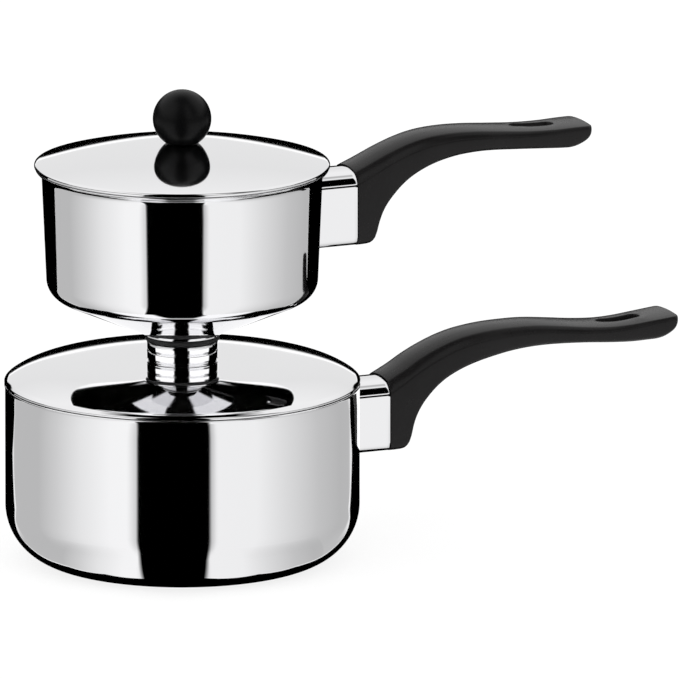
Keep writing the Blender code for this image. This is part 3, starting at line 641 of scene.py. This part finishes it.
def ball_bakelite():
    """The ball knob's smoother black bakelite."""
    finish = bpy.context.scene.steamer_finishes
    return moulded("Ball bakelite", finish.ball_colour, finish.ball_roughness, rub=0.03, grain=2400.0,
                   bump=3e-6, specular=0.13)


def silicone():
    """The seal ring's matte black silicone."""
    finish = bpy.context.scene.steamer_finishes
    return moulded("Silicone", finish.silicone_colour, 0.55, rub=0.05, grain=3200.0, bump=6e-6,
                   specular=0.5)


# Shapes of the pans and lids

def dome(radius, edge_radius, rise, power):
    """Height of a lid's crown above its edge."""
    return rise * (1 - (radius / edge_radius) ** power)


def lid_outline(radius, rise, power, sheet, edge, plug_radius, plug, hole):
    """Section of a domed lid with a rolled edge, a plug below it and a hole in its middle."""
    top = GAP + edge
    roll = edge * ROLL
    crown = spaced(hole, radius - roll * BEND_ROOM, 60)
    line = [(r, top + dome(r, radius, rise, power)) for r in crown]
    line += arc((radius - roll, top - roll), (roll, roll * ROLL_RISE), ROLL_ANGLE, 0, 7)
    line += arc((radius - roll, GAP + roll), (roll, roll), 0, -90, 7)
    line += arc((plug_radius + sheet, GAP - sheet), (sheet, sheet), 90, 180, 5)
    line += arc((plug_radius - sheet / 2, -plug + sheet / 2), (sheet / 2, sheet / 2), 0, -180, 8)
    inner = plug_radius - sheet
    bend = sheet * PLUG_BEND
    meet = top - sheet + dome(inner - bend, radius, rise, power)
    line += arc((inner - bend, meet - bend), (bend, bend), 0, 84, 7)
    under = spaced(inner - bend * BEND_ROOM, hole, 40)
    return line + [(r, top - sheet + dome(r, radius, rise, power)) for r in under]


def lower_pan_outline(pans):
    """Section of the drawn boiling pan: flat base, round corner, straight wall and a small lip."""
    radius, top, wall, base = pans.lower_radius, pans.lower_height, pans.wall, pans.lower_base
    corner = (radius - pans.lower_corner, pans.lower_corner)
    lip = top - pans.lip_height
    flare = pans.lip_flare
    bead = wall / 2 + flare / 2
    line = [(0.0, 0.0), (corner[0] * 0.5, 0.0)] + arc(corner, (pans.lower_corner,) * 2, -90, 0, 40)
    line += [(radius, height) for height in spaced(pans.lower_corner, lip - LIP_LEAN, 8)[1:]]
    line += [(radius + flare * LIP_START, lip), (radius + flare, lip + pans.lip_height * 0.5)]
    line += arc((radius + flare - bead, top - bead), (bead, bead), 0, 180, 8)
    inner = (pans.lower_corner - wall, pans.lower_corner - base)
    line += [(radius - wall, lip), (radius - wall, pans.lower_corner + INNER_POINT)]
    return line + arc(corner, inner, 0, -90, 32) + [(corner[0] * 0.5, base), (0.0, base)]


def chimney_outline(lids, shoulder, cover_top):
    """Section of the steam chimney: a foot and two grooved bands above the cover, a spigot below."""
    low = cover_top - lids.sheet - COLLAR_HEIGHT - GAP - COLLAR_OVERLAP
    radius, pitch = lids.chimney_radius, lids.band_pitch
    line = [(lids.chimney_bore, low), (lids.chimney_spigot, low), (lids.chimney_spigot, shoulder)]
    line += [(radius - FOOT_EASE, shoulder), (radius, shoulder + FOOT_EASE)]
    line += [(radius, shoulder + lids.chimney_foot * FOOT_UPRIGHT)]
    for band in range(CHIMNEY_BANDS):
        start = shoulder + lids.chimney_foot + band * pitch
        for step in range(BAND_STEPS):
            along = 2 * step / BAND_STEPS - 1
            groove = max(0.0, abs(along) - GROOVE_START) / (1 - GROOVE_START)
            depth = BAND_BULGE * along ** 2 + (lids.groove_depth - BAND_BULGE) * groove ** GROOVE_POWER
            line.append((radius - depth, start + pitch * step / BAND_STEPS))
    top = shoulder + lids.chimney_foot + CHIMNEY_BANDS * pitch
    return line + [(radius - lids.groove_depth, top), (lids.chimney_bore, top)]


def funnel_height(pans, radius):
    """Outside of the funnel above the seal."""
    return GAP + pans.neck_height + math.tan(pans.funnel_angle) * (radius - pans.neck_radius)


def corner_place(pans):
    """Middle of the funnel pan's corner arc, which meets the funnel and the wall."""
    radius = pans.foot_radius - pans.upper_corner
    touch = radius + pans.upper_corner * math.sin(pans.funnel_angle)
    return radius, funnel_height(pans, touch) + pans.upper_corner * math.cos(pans.funnel_angle)


def upper_wall_radius(pans, height):
    """Outside radius of the funnel pan's slightly tapered wall, heights above the seal."""
    low = corner_place(pans)[1]
    high = pans.upper_height - pans.rim_height
    return pans.foot_radius + (pans.upper_radius - pans.foot_radius) * (height - low) / (high - low)


def upper_pan_outline(pans, spigot):
    """Section of the funnel pan: spigot, neck lip, funnel, corner, tapered wall and flared rim."""
    bore = spigot - SPIGOT_WALL
    wall = pans.wall
    corner = corner_place(pans)
    start = -90 + math.degrees(pans.funnel_angle)
    bend = arc(corner, (pans.upper_corner,) * 2, start, 0, 24)
    shell = [(r, funnel_height(pans, r)) for r in spaced(pans.neck_radius, bend[0][0], 10)[:-1]] + bend
    band = pans.upper_height - pans.rim_height
    shell += [(upper_wall_radius(pans, h), h) for h in spaced(corner[1], band, 8)[1:]]
    for part in spaced(0.0, RIM_CURVE[-1][0], 18)[1:]:
        flare = pans.rim_flare * smooth_value(RIM_CURVE, part)
        shell.append((pans.upper_radius + flare, band + pans.rim_height * part))
    inside = offset(shell, wall)
    edge = shell[-1][0]
    while inside[-1][1] > pans.upper_height - wall * RIM_INSIDE:
        inside.pop()
    bead = wall * RIM_BEAD
    rim = arc((edge - bead, pans.upper_height - bead), (bead, bead), 20, 160, 7)
    throat = GAP + pans.neck_height + wall / 3
    throat_radius = pans.neck_radius - (inside[0][1] - throat) / math.tan(pans.funnel_angle)
    line = [(bore, -pans.spigot_length), (spigot, -pans.spigot_length), (spigot, GAP)]
    line += [(pans.neck_radius - GAP, GAP), (pans.neck_radius, GAP * 2)]
    line += shell + rim + inside[:0:-1]
    return line + [(throat_radius, throat), (bore, throat)]


def cover_height(pans, lids):
    """Height of the cover's top where the chimney passes through it."""
    hole = lids.chimney_spigot + GAP
    crown = dome(hole, lids.cover_radius, lids.cover_rise, COVER_POWER)
    return pans.lower_height + GAP + lids.cover_edge + crown


def upper_seat(pans, lids):
    """Height of the funnel pan's seat on its seal."""
    chimney = lids.chimney_foot + CHIMNEY_BANDS * lids.band_pitch
    return cover_height(pans, lids) + GAP + chimney + GAP + lids.seal_height


# Shapes of the handles

def section(width, low, top, crown, shoulder, foot, columns):
    """A rounded handle section as (y, z) points. Its top and underside have corners at the columns."""
    side = width / 2
    crown = min(crown, (top - low) * ARCH_LIMIT)
    high = top - crown
    room = high - low
    points = []
    for quarter, radius in ((0, shoulder), (90, shoulder), (180, foot), (270, foot)):
        radius = min(radius, room * CORNER_LIMIT[0], side * CORNER_LIMIT[1])
        y = (side - radius) * (1 if quarter in (0, 270) else -1)
        z = high - radius if quarter < 180 else low + radius
        points += arc((y, z), (radius, radius), quarter, quarter + 90, CORNER_STEPS)
        inner = side - radius
        span = [(inner + columns[0]) / 2, *columns, *[-value for value in reversed(columns[:-1])],
                -(inner + columns[0]) / 2]
        if quarter == 0:
            points += [(value, high) for value in span]
        if quarter == 180:
            points += [(-value, low) for value in span]
    middle = (high + low) / 2
    return [(y, z + (crown * (1 - (y / side) ** 2) if z > middle else 0.0)) for y, z in points]


def slot_columns(handles):
    """Lines along the grip at the slot's sides, between them and in its middle."""
    return [handles.slot_width / 2 * math.sin(math.radians(turn)) for turn in (90, 60, 30, 0)]


def grip_outline(handles, length, height, lines, reach):
    """Section of a grip at a reach from its root."""
    top_line, under_line = lines
    part = reach / length
    start = length - handles.tip_length
    top = smooth_value(top_line, reach / GRIP_UNIT) * GRIP_UNIT
    low = smooth_value(under_line, reach / GRIP_UNIT) * GRIP_UNIT - height
    width = handles.width * smooth_value(GRIP_WIDTH, part)
    if reach > start:
        along = min((reach - start) / handles.tip_length, 1.0)
        low = top - handles.tip_edge - (top - handles.tip_edge - low) * math.sqrt(1 - along ** 2)
    corner = max(0.0, reach - (length - handles.tip_corner))
    width -= 2 * (handles.tip_corner - math.sqrt(max(handles.tip_corner ** 2 - corner ** 2, 0.0)))
    crown = handles.crown + (handles.tip_crown - handles.crown) * part
    shoulder = handles.shoulder + (handles.tip_shoulder - handles.shoulder) * part
    return section(width, low, top, crown, shoulder, handles.foot, slot_columns(handles))


def grip_shape(handles, length, height, lines, root, middle):
    """A grip from its root face to its end, with the hanging slot through it."""
    first = length - handles.slot_to_tip - handles.slot_length
    last = length - handles.slot_to_tip
    start = length - handles.tip_length
    reaches = spaced(0.0, HEEL[0], 2) + spaced(*HEEL, 22)[1:] + spaced(HEEL[1], first, 44)[1:]
    slot_start = len(reaches) - 1
    reaches += spaced(first, last, 18)[1:]
    slot_end = len(reaches) - 1
    tip = [start + handles.tip_length * math.sin(turn) for turn in spaced(0.0, math.pi / 2, 22)]
    reaches += [reach for reach in tip if reach > last + SLOT_MARGIN]
    half = height / 2
    rings = []
    for reach in reaches:
        outline = grip_outline(handles, length, height, lines, reach)
        rings.append([(root + reach, y, middle + half + z) for y, z in outline])
    shape = drawn(rings)
    cut_slot(shape, handles, root, (first, last), (slot_start, slot_end), len(rings[0]))
    ends = [edge for edge in shape.edges if edge.is_boundary]
    bmesh.ops.holes_fill(shape, edges=ends, sides=0)
    caps = [face for face in shape.faces if len(face.verts) > 8]
    rims = [edge for face in caps for edge in face.edges]
    eased(shape, rims, GRIP_EASE, 3)
    bmesh.ops.recalc_face_normals(shape, faces=shape.faces)
    return shape


def cut_slot(shape, handles, root, span, stations, corners):
    """Open the slot in the top and the underside, round its ends and line it with a wall."""
    place = shape.verts.layers.int["place"]
    station = shape.verts.layers.int["station"]
    top = set(range(SLOT_FIRST, SLOT_FIRST + SLOT_POINTS))
    under = {index + corners // 2 for index in top}
    holes = []
    for face in shape.faces:
        places = {corner[place] for corner in face.verts}
        inside = all(stations[0] <= corner[station] <= stations[1] for corner in face.verts)
        if inside and (places <= top or places <= under):
            holes.append(face)
    bmesh.ops.delete(shape, geom=holes, context="FACES")
    half = handles.slot_width / 2
    rim = [edge for edge in shape.edges if edge.is_boundary
           and all(stations[0] <= corner[station] <= stations[1] for corner in edge.verts)]
    low, high = root + span[0] + half, root + span[1] - half
    for corner in {corner for edge in rim for corner in edge.verts}:
        along = (corner.co.x - root - span[0]) / (span[1] - span[0])
        bow = math.sqrt(max(half ** 2 - corner.co.y ** 2, 0.0))
        corner.co.x = (low - bow) + (high + bow - low + bow) * along
    made = bmesh.ops.bridge_loops(shape, edges=rim)
    bmesh.ops.subdivide_edges(shape, edges=made["edges"], cuts=2)
    eased(shape, rim, handles.slot_round, 3)


def ferrule_shape(handles, height, reach, middle, wall_radius):
    """A ferrule's sleeve, its near end shaped to the round wall of its pan."""
    half = height / 2
    thick = handles.ferrule_wall
    columns = slot_columns(handles)
    skin = section(handles.width, -half, half, handles.crown, handles.shoulder, handles.foot, columns)
    bore = section(handles.width - 2 * thick, thick - half, half - thick, handles.crown,
                   handles.shoulder - thick, handles.foot - thick, columns)

    def ring(outline, part):
        points = []
        for y, z in outline:
            wall = math.sqrt(wall_radius(middle + z) ** 2 - y ** 2) + GAP
            points.append((wall + (reach - wall) * part, y, middle + z))
        return points

    shape = drawn([ring(skin, part) for part in spaced(0.0, 1.0, 12)]
                  + [ring(bore, part) for part in (1.0, 0.0)])
    bmesh.ops.bridge_loops(shape, edges=[edge for edge in shape.edges if edge.is_boundary])
    bmesh.ops.recalc_face_normals(shape, faces=shape.faces)
    rims = [edge for edge in shape.edges
            if edge.calc_face_angle(0.0) > SHARP_ANGLE and edge.calc_length() < SHORT_EDGE]
    eased(shape, rims, FERRULE_EASE, 2)
    bmesh.ops.recalc_face_normals(shape, faces=shape.faces)
    return shape


# Operators

class STEAMER_OT_lower_pan(bpy.types.Operator):
    """Build the boiling pan"""
    bl_idname = "steamer.lower_pan"
    bl_label = "Boiling pan"

    def execute(self, context):
        pans = context.scene.steamer_pans
        shape = turned(lower_pan_outline(pans), pans.faces)
        line_inside(shape, (0, 0, pans.lower_height * 0.5))
        piece("boiling_pan", shape, (mirror_steel(), satin_steel()), "base_pan",
              ["lower_pan_body"])
        return {"FINISHED"}


class STEAMER_OT_cover(bpy.types.Operator):
    """Build the cover of the boiling pan, its steam chimney and the seal ring"""
    bl_idname = "steamer.cover"
    bl_label = "Cover and chimney"

    def execute(self, context):
        pans, lids = context.scene.steamer_pans, context.scene.steamer_lids
        hole = lids.chimney_spigot + GAP
        plug = pans.lower_radius - pans.wall - PLUG_CLEARANCE
        outline = lid_outline(lids.cover_radius, lids.cover_rise, COVER_POWER, lids.sheet, lids.cover_edge,
                              plug, lids.cover_plug, hole)
        shape = turned([(r, z + pans.lower_height) for r, z in outline], pans.faces)
        line_inside(shape, (0, 0, 0))
        finish = mirror_steel("Mirror steel cover", (*COVER_CROWN, lids.cover_radius))
        piece("boiling_pan_cover", shape, (finish, satin_steel()), "cover_unit",
              ["cover"])
        cover_top = cover_height(pans, lids)
        shoulder = cover_top + GAP
        shape = turned(chimney_outline(lids, shoulder, cover_top), TUBE_FACES)
        piece("steam_chimney", shape, (mirror_steel(),), "cover_unit", ["chimney"],
              sharp=50)
        low = upper_seat(pans, lids) - lids.seal_height
        bend = lids.seal_height * SEAL_ROUND
        seal = [(lids.chimney_bore, low)]
        seal += arc((lids.seal_radius - bend, low + bend), (bend, bend), -90, 0, 6)
        seal += arc((lids.seal_radius - bend, low + lids.seal_height - bend), (bend, bend), 0, 90, 6)
        seal += [(lids.chimney_bore, low + lids.seal_height)]
        piece("chimney_seal", turned(seal, TUBE_FACES), (silicone(),), "seal_unit",
              ["seal_ring"])
        return {"FINISHED"}


class STEAMER_OT_funnel_pan(bpy.types.Operator):
    """Build the funnel-bottomed pan"""
    bl_idname = "steamer.funnel_pan"
    bl_label = "Funnel pan"

    def execute(self, context):
        pans, lids = context.scene.steamer_pans, context.scene.steamer_lids
        base = upper_seat(pans, lids)
        outline = upper_pan_outline(pans, lids.chimney_bore - SPIGOT_CLEARANCE)
        shape = turned([(r, z + base) for r, z in outline], pans.faces)
        line_inside(shape, (0, 0, base + pans.upper_height * 0.6))
        piece("funnel_pan", shape, (mirror_steel(), satin_steel()), "upper_pan",
              ["upper_pan_body"])
        return {"FINISHED"}


class STEAMER_OT_lid(bpy.types.Operator):
    """Build the lid of the funnel pan and its ball knob"""
    bl_idname = "steamer.lid"
    bl_label = "Lid and knob"

    def execute(self, context):
        pans, lids = context.scene.steamer_pans, context.scene.steamer_lids
        base = upper_seat(pans, lids) + pans.upper_height
        plug = pans.upper_radius - pans.wall - PLUG_CLEARANCE
        outline = lid_outline(lids.lid_radius, lids.lid_rise, LID_POWER, lids.sheet, lids.lid_edge, plug,
                              lids.lid_plug, KNOB_BORE)
        shape = turned([(r, z + base) for r, z in outline], pans.faces)
        line_inside(shape, (0, 0, 0))
        finish = mirror_steel("Mirror steel lid", (*LID_CROWN, lids.lid_radius))
        piece("funnel_pan_lid", shape, (finish, satin_steel()), "lid_unit", ["lid"])
        foot = base + GAP + lids.lid_edge + lids.lid_rise + GAP
        middle = foot + math.sqrt(lids.ball_radius ** 2 - lids.ball_foot ** 2)
        start = -math.degrees(math.acos(lids.ball_foot / lids.ball_radius))
        ball = [(0.0, foot + KNOB_BORE_DEPTH), (KNOB_BORE, foot + KNOB_BORE_DEPTH), (KNOB_BORE, foot)]
        ball += arc((0.0, middle), (lids.ball_radius,) * 2, start, 88, 56)
        shape = turned(ball + [(0.0, middle + lids.ball_radius)], BALL_FACES)
        piece("ball_knob", shape, (ball_bakelite(),), "lid_unit", ["lid_knob"],
              sharp=45)
        return {"FINISHED"}


class STEAMER_OT_handles(bpy.types.Operator):
    """Build both ferrules and both grips"""
    bl_idname = "steamer.handles"
    bl_label = "Handles"

    def execute(self, context):
        pans, lids = context.scene.steamer_pans, context.scene.steamer_lids
        handles = context.scene.steamer_handles
        seat = upper_seat(pans, lids)
        rows = (
            ("lower", "base_pan", pans.lower_height, (LOWER_GRIP_TOP, LOWER_GRIP_UNDER),
             lambda height: pans.lower_radius),
            ("upper", "upper_pan", seat + pans.upper_height, (UPPER_GRIP_TOP, UPPER_GRIP_UNDER),
             lambda height: upper_wall_radius(pans, height - seat)),
        )
        for prefix, body, rim, lines, wall in rows:
            drop, height, sleeve, reach = (getattr(handles, prefix + part)
                                           for part in ("_drop", "_height", "_ferrule", "_grip"))
            middle = rim - drop
            end = wall(middle) + sleeve
            shape = ferrule_shape(handles, height, end, middle, wall)
            ferrule = piece(prefix + "_handle_ferrule", shape, (mirror_steel(),), body,
                            [prefix + "_ferrule"])
            shape = grip_shape(handles, reach, height, lines, end + GAP, middle)
            grip = piece(prefix + "_handle_grip", shape, (bakelite(),), body,
                         [prefix + "_grip"], sharp=40)
            ferrule.visible_glossy = grip.visible_glossy = prefix == "lower"
        return {"FINISHED"}


class STEAMER_OT_hidden_pieces(bpy.types.Operator):
    """Finish the carried-over pieces inside the handles and the pans"""
    bl_idname = "steamer.hidden_pieces"
    bl_label = "Hidden pieces"

    def execute(self, context):
        for name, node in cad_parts.items():
            if not node.hide_render:
                finish = mirror_steel() if name == "plate_knob" else satin_steel()
                for slot in node.material_slots:
                    slot.material = finish
                if name in ("upper_bracket", "upper_handle_screw"):
                    node.visible_glossy = False
        return {"FINISHED"}


class STEAMER_OT_studio(bpy.types.Operator):
    """Set up the floor, the light and the camera"""
    bl_idname = "steamer.studio"
    bl_label = "Studio"

    def execute(self, context):
        studio = context.scene.steamer_studio
        build_floor(studio)
        build_light(studio)
        build_camera(studio)
        context.scene.view_settings.view_transform = "Standard"
        return {"FINISHED"}


# Studio

def facing(studio):
    """Directions: the camera's look, to its right, and level from the object towards it."""
    turn, rise = studio.azimuth, studio.elevation
    look = Vector((-math.sin(turn) * math.cos(rise), math.cos(turn) * math.cos(rise), -math.sin(rise)))
    right = Vector((math.cos(turn), math.sin(turn), 0))
    return look, right, Vector((-look.x, -look.y, 0)).normalized()


def panels(tree, place, rows, low=-180.0, high=180.0):
    """Brightness by place along a row of studio panels."""
    ramp = add(tree, "ShaderNodeValToRGB", {0: fade(tree, place, low, high)})
    stops = ramp.color_ramp.elements
    while len(stops) > 1:
        stops.remove(stops[-1])
    for index, (at, value) in enumerate(rows):
        stop = stops[0] if index == 0 else stops.new((at - low) / (high - low))
        stop.position = (at - low) / (high - low)
        stop.color = (value, value, value, 1.0)
    return ramp.outputs[0]


def layered(tree, colours, factors):
    """The first colour, gone over by each of the others where its factor is 1."""
    made = colours[0]
    for colour_over, factor in zip(colours[1:], factors):
        made = blend(tree, factor, made, colour_over)
    return made


def front_strip(tree, rays, across, ahead):
    """Where the floor in front of the steamer has its strip of black cloth."""
    blur = calc(tree, "MAXIMUM", calc(tree, "MULTIPLY", ahead, STRIP_BLUR), LEAST_BLUR)
    short = calc(tree, "SUBTRACT", calc(tree, "MULTIPLY_ADD", rays["Ray Length"], *RAY_REACH), ahead)
    short = calc(tree, "MAXIMUM", short, 0.0)
    strip = calc(tree, "GREATER_THAN", ahead, STRIP_START)
    for direction, opening, inset, spread in STRIP:
        side = calc(tree, "MULTIPLY_ADD", across, direction, calc(tree, "MULTIPLY", ahead, opening))
        side = calc(tree, "MULTIPLY_ADD", short, spread, calc(tree, "SUBTRACT", side, inset))
        side = fade(tree, calc(tree, "DIVIDE", side, blur), -1.0, 0.0)
        strip = calc(tree, "MULTIPLY", strip, side)
    return strip


def shadow_and_cloth_mask(tree, rays, right, near):
    """What polished steel sees of the floor: where it is black, painted shadow under the boiling pan and
    cloth behind it, where that black has a white edge, the shade beside the boiling pan's foot and where
    that shows."""
    spot = own_place(tree)
    across = vector(tree, "DOT_PRODUCT", spot, right)
    ahead = vector(tree, "DOT_PRODUCT", spot, near)
    behind = calc(tree, "MULTIPLY", ahead, -1.0)
    rows = [(place, half / SHADOW_AND_CLOTH_WIDEST) for place, half in SHADOW_AND_CLOTH]
    half = calc(tree, "MULTIPLY", panels(tree, behind, rows, *SHADOW_AND_CLOTH_SPAN), SHADOW_AND_CLOTH_WIDEST)
    beyond = calc(tree, "SUBTRACT", calc(tree, "ABSOLUTE", across), half)
    # Black under the boiling pan is painted shadow for reflections, black further behind it is cloth
    shadow_and_cloth = calc(tree, "MULTIPLY", calc(tree, "GREATER_THAN", behind, SHADOW_AND_CLOTH[0][0]),
                 calc(tree, "LESS_THAN", beyond, 0.0))
    black = calc(tree, "MAXIMUM", front_strip(tree, rays, across, ahead), shadow_and_cloth)
    (close, thin), (far, wide) = EDGE_WIDTH
    edge = calc(tree, "LESS_THAN", beyond, fade(tree, behind, close, far, thin, wide))
    edge = calc(tree, "MULTIPLY", calc(tree, "GREATER_THAN", behind, EDGE_START), edge)
    edge = calc(tree, "MULTIPLY", edge, calc(tree, "LESS_THAN", rays["Ray Depth"], FLOOR_FIRST))
    turn = calc(tree, "MULTIPLY", calc(tree, "DEGREES", calc(tree, "ARCTAN2", across, ahead)), 2.0)
    turn = calc(tree, "MAXIMUM", calc(tree, "MINIMUM", turn, FOOT_TURN), -FOOT_TURN)
    beside = fade(tree, vector(tree, "LENGTH", spot), *FOOT_FLOOR, 1.0, 0.0)
    return black, edge, panels(tree, turn, FLOOR), beside


def build_floor(studio):
    """A wide pale floor, white to the camera apart from the object's shadow; reflections see painted shadow
    under the pan and black cloth on it.
    """
    shape = bmesh.new()
    bmesh.ops.create_grid(shape, x_segments=8, y_segments=8, size=FLOOR_HALF)
    mesh = bpy.data.meshes.new("studio_floor")
    shape.to_mesh(mesh)
    shape.free()
    floor = bpy.data.objects.new("studio_floor", mesh)
    bpy.context.scene.collection.objects.link(floor)
    made = bpy.data.materials.new("Studio floor")
    made.use_nodes = True
    tree = made.node_tree
    tree.nodes.clear()
    right, near = facing(studio)[1:]
    rays = add(tree, "ShaderNodeLightPath").outputs
    black, edge, shade, beside = shadow_and_cloth_mask(tree, rays, right, near)
    mirrored = surface(tree, "MixShader", beside, surface(tree, "BsdfTransparent"),
                       surface(tree, "Emission", shade, 1.0))
    mirrored = surface(tree, "MixShader", edge, mirrored, surface(tree, "Emission", WHITE, 1.0))
    mirrored = surface(tree, "MixShader", black, mirrored, surface(tree, "Emission", BLACK, 0.0))
    plain = surface(tree, "BsdfDiffuse", (*studio.floor_colour, 1.0))
    unseen = surface(tree, "MixShader", rays["Is Glossy Ray"], plain, mirrored)
    seen = surface(tree, "AddShader", surface(tree, "BsdfDiffuse", FLOOR_SHADED),
                   surface(tree, "Emission", WHITE, FLOOR_GLOW))
    mixed = surface(tree, "MixShader", rays["Is Camera Ray"], unseen, seen)
    wire(tree, mixed, add(tree, "ShaderNodeOutputMaterial").inputs["Surface"])
    mesh.materials.append(made)


def build_light(studio):
    """Soft even light, which polished steel sees as white panels with black gaps between them."""
    right, near = facing(studio)[1:]
    world = bpy.data.worlds.new("Studio light")
    bpy.context.scene.world = world
    world.use_nodes = True
    world.cycles.sampling_method = "NONE"
    tree = world.node_tree
    tree.nodes.clear()
    ray = add(tree, "ShaderNodeTexCoord").outputs["Generated"]
    across, toward = (vector(tree, "DOT_PRODUCT", ray, way) for way in (right, near))
    turn = calc(tree, "DEGREES", calc(tree, "ARCTAN2", across, toward))
    height = add(tree, "ShaderNodeSeparateXYZ", {0: ray}).outputs[2]
    rise = calc(tree, "DEGREES", calc(tree, "ARCSINE", height))
    low, mid, high, top, peak = (fade(tree, rise, *level) for level in LEVELS)
    floor, screens, hangings, ceiling, screens_again, hangings_again = (
        panels(tree, turn, rows)
        for rows in (FLOOR, SCREENS, HANGINGS, CEILING, SCREENS_AGAIN, HANGINGS_AGAIN))
    screens = calc(tree, "MULTIPLY", screens, panels(tree, rise, FOOT, -90.0, 90.0))
    once = layered(tree, (floor, screens, hangings, ceiling, BLACK), (low, mid, high, top))
    again = layered(tree, (screens_again, hangings_again, WHITE), (mid, peak))
    rays = add(tree, "ShaderNodeLightPath").outputs
    mirrored = blend(tree, calc(tree, "GREATER_THAN", rays["Ray Depth"], WORLD_FIRST), once, again)
    light = surface(tree, "Background", blend(tree, rays["Is Glossy Ray"], WHITE, mirrored), 1.0)
    wire(tree, light, add(tree, "ShaderNodeOutputWorld").inputs["Surface"])
    lamp = bpy.data.lights.new("overhead_softbox", "AREA")
    lamp.energy = studio.lamp_power
    lamp.size = LAMP_SIZE
    box = bpy.data.objects.new("overhead_softbox", lamp)
    box.location = LAMP_PLACE
    box.rotation_euler = (Vector(LAMP_AIM) - box.location).to_track_quat("-Z", "Y").to_euler()
    box.visible_glossy = False
    bpy.context.scene.collection.objects.link(box)


def build_camera(studio):
    """A camera far away with a long lens, so that the view is nearly parallel."""
    look = facing(studio)[0]
    data = bpy.data.cameras.new("studio_camera")
    data.lens = studio.lens
    data.sensor_width = SENSOR_WIDTH
    distance = studio.view_width * data.lens / SENSOR_WIDTH
    camera = bpy.data.objects.new("studio_camera", data)
    camera.location = Vector(studio.aim) - look * (distance - CAMERA_NEARER)
    camera.rotation_euler = look.to_track_quat("-Z", "Y").to_euler()
    data.clip_start = 1.0
    data.clip_end = 60.0
    bpy.context.scene.collection.objects.link(camera)
    bpy.context.scene.camera = camera


# Add-on

OPERATORS = (STEAMER_OT_lower_pan, STEAMER_OT_cover, STEAMER_OT_funnel_pan, STEAMER_OT_handles,
             STEAMER_OT_lid, STEAMER_OT_hidden_pieces, STEAMER_OT_studio)


class STEAMER_PT_sidebar(bpy.types.Panel):
    """Sizes, finishes and steps of the steamer"""
    bl_idname = "STEAMER_PT_sidebar"
    bl_label = "Couscous Steamer"
    bl_space_type = "VIEW_3D"
    bl_region_type = "UI"
    bl_category = "Steamer"

    def draw(self, context):
        for name, settings in GROUPS.items():
            box = self.layout.box()
            box.label(text=settings.__doc__)
            for key in settings.__annotations__:
                box.prop(getattr(context.scene, name), key)
        for operator in OPERATORS:
            self.layout.operator(operator.bl_idname)


def register():
    """Register the classes and hang the property groups on the scene."""
    for item in (*GROUPS.values(), *OPERATORS, STEAMER_PT_sidebar):
        bpy.utils.register_class(item)
    for name, settings in GROUPS.items():
        setattr(bpy.types.Scene, name, PointerProperty(type=settings))


def unregister():
    """Take the property groups and the classes away again."""
    for name in GROUPS:
        delattr(bpy.types.Scene, name)
    for item in reversed((*GROUPS.values(), *OPERATORS, STEAMER_PT_sidebar)):
        bpy.utils.unregister_class(item)


def main():
    """Build every piece and the studio."""
    register()
    bpy.ops.steamer.lower_pan()
    bpy.ops.steamer.cover()
    bpy.ops.steamer.funnel_pan()
    bpy.ops.steamer.handles()
    bpy.ops.steamer.lid()
    bpy.ops.steamer.hidden_pieces()
    bpy.ops.steamer.studio()


if __name__ == "__main__":
    main()
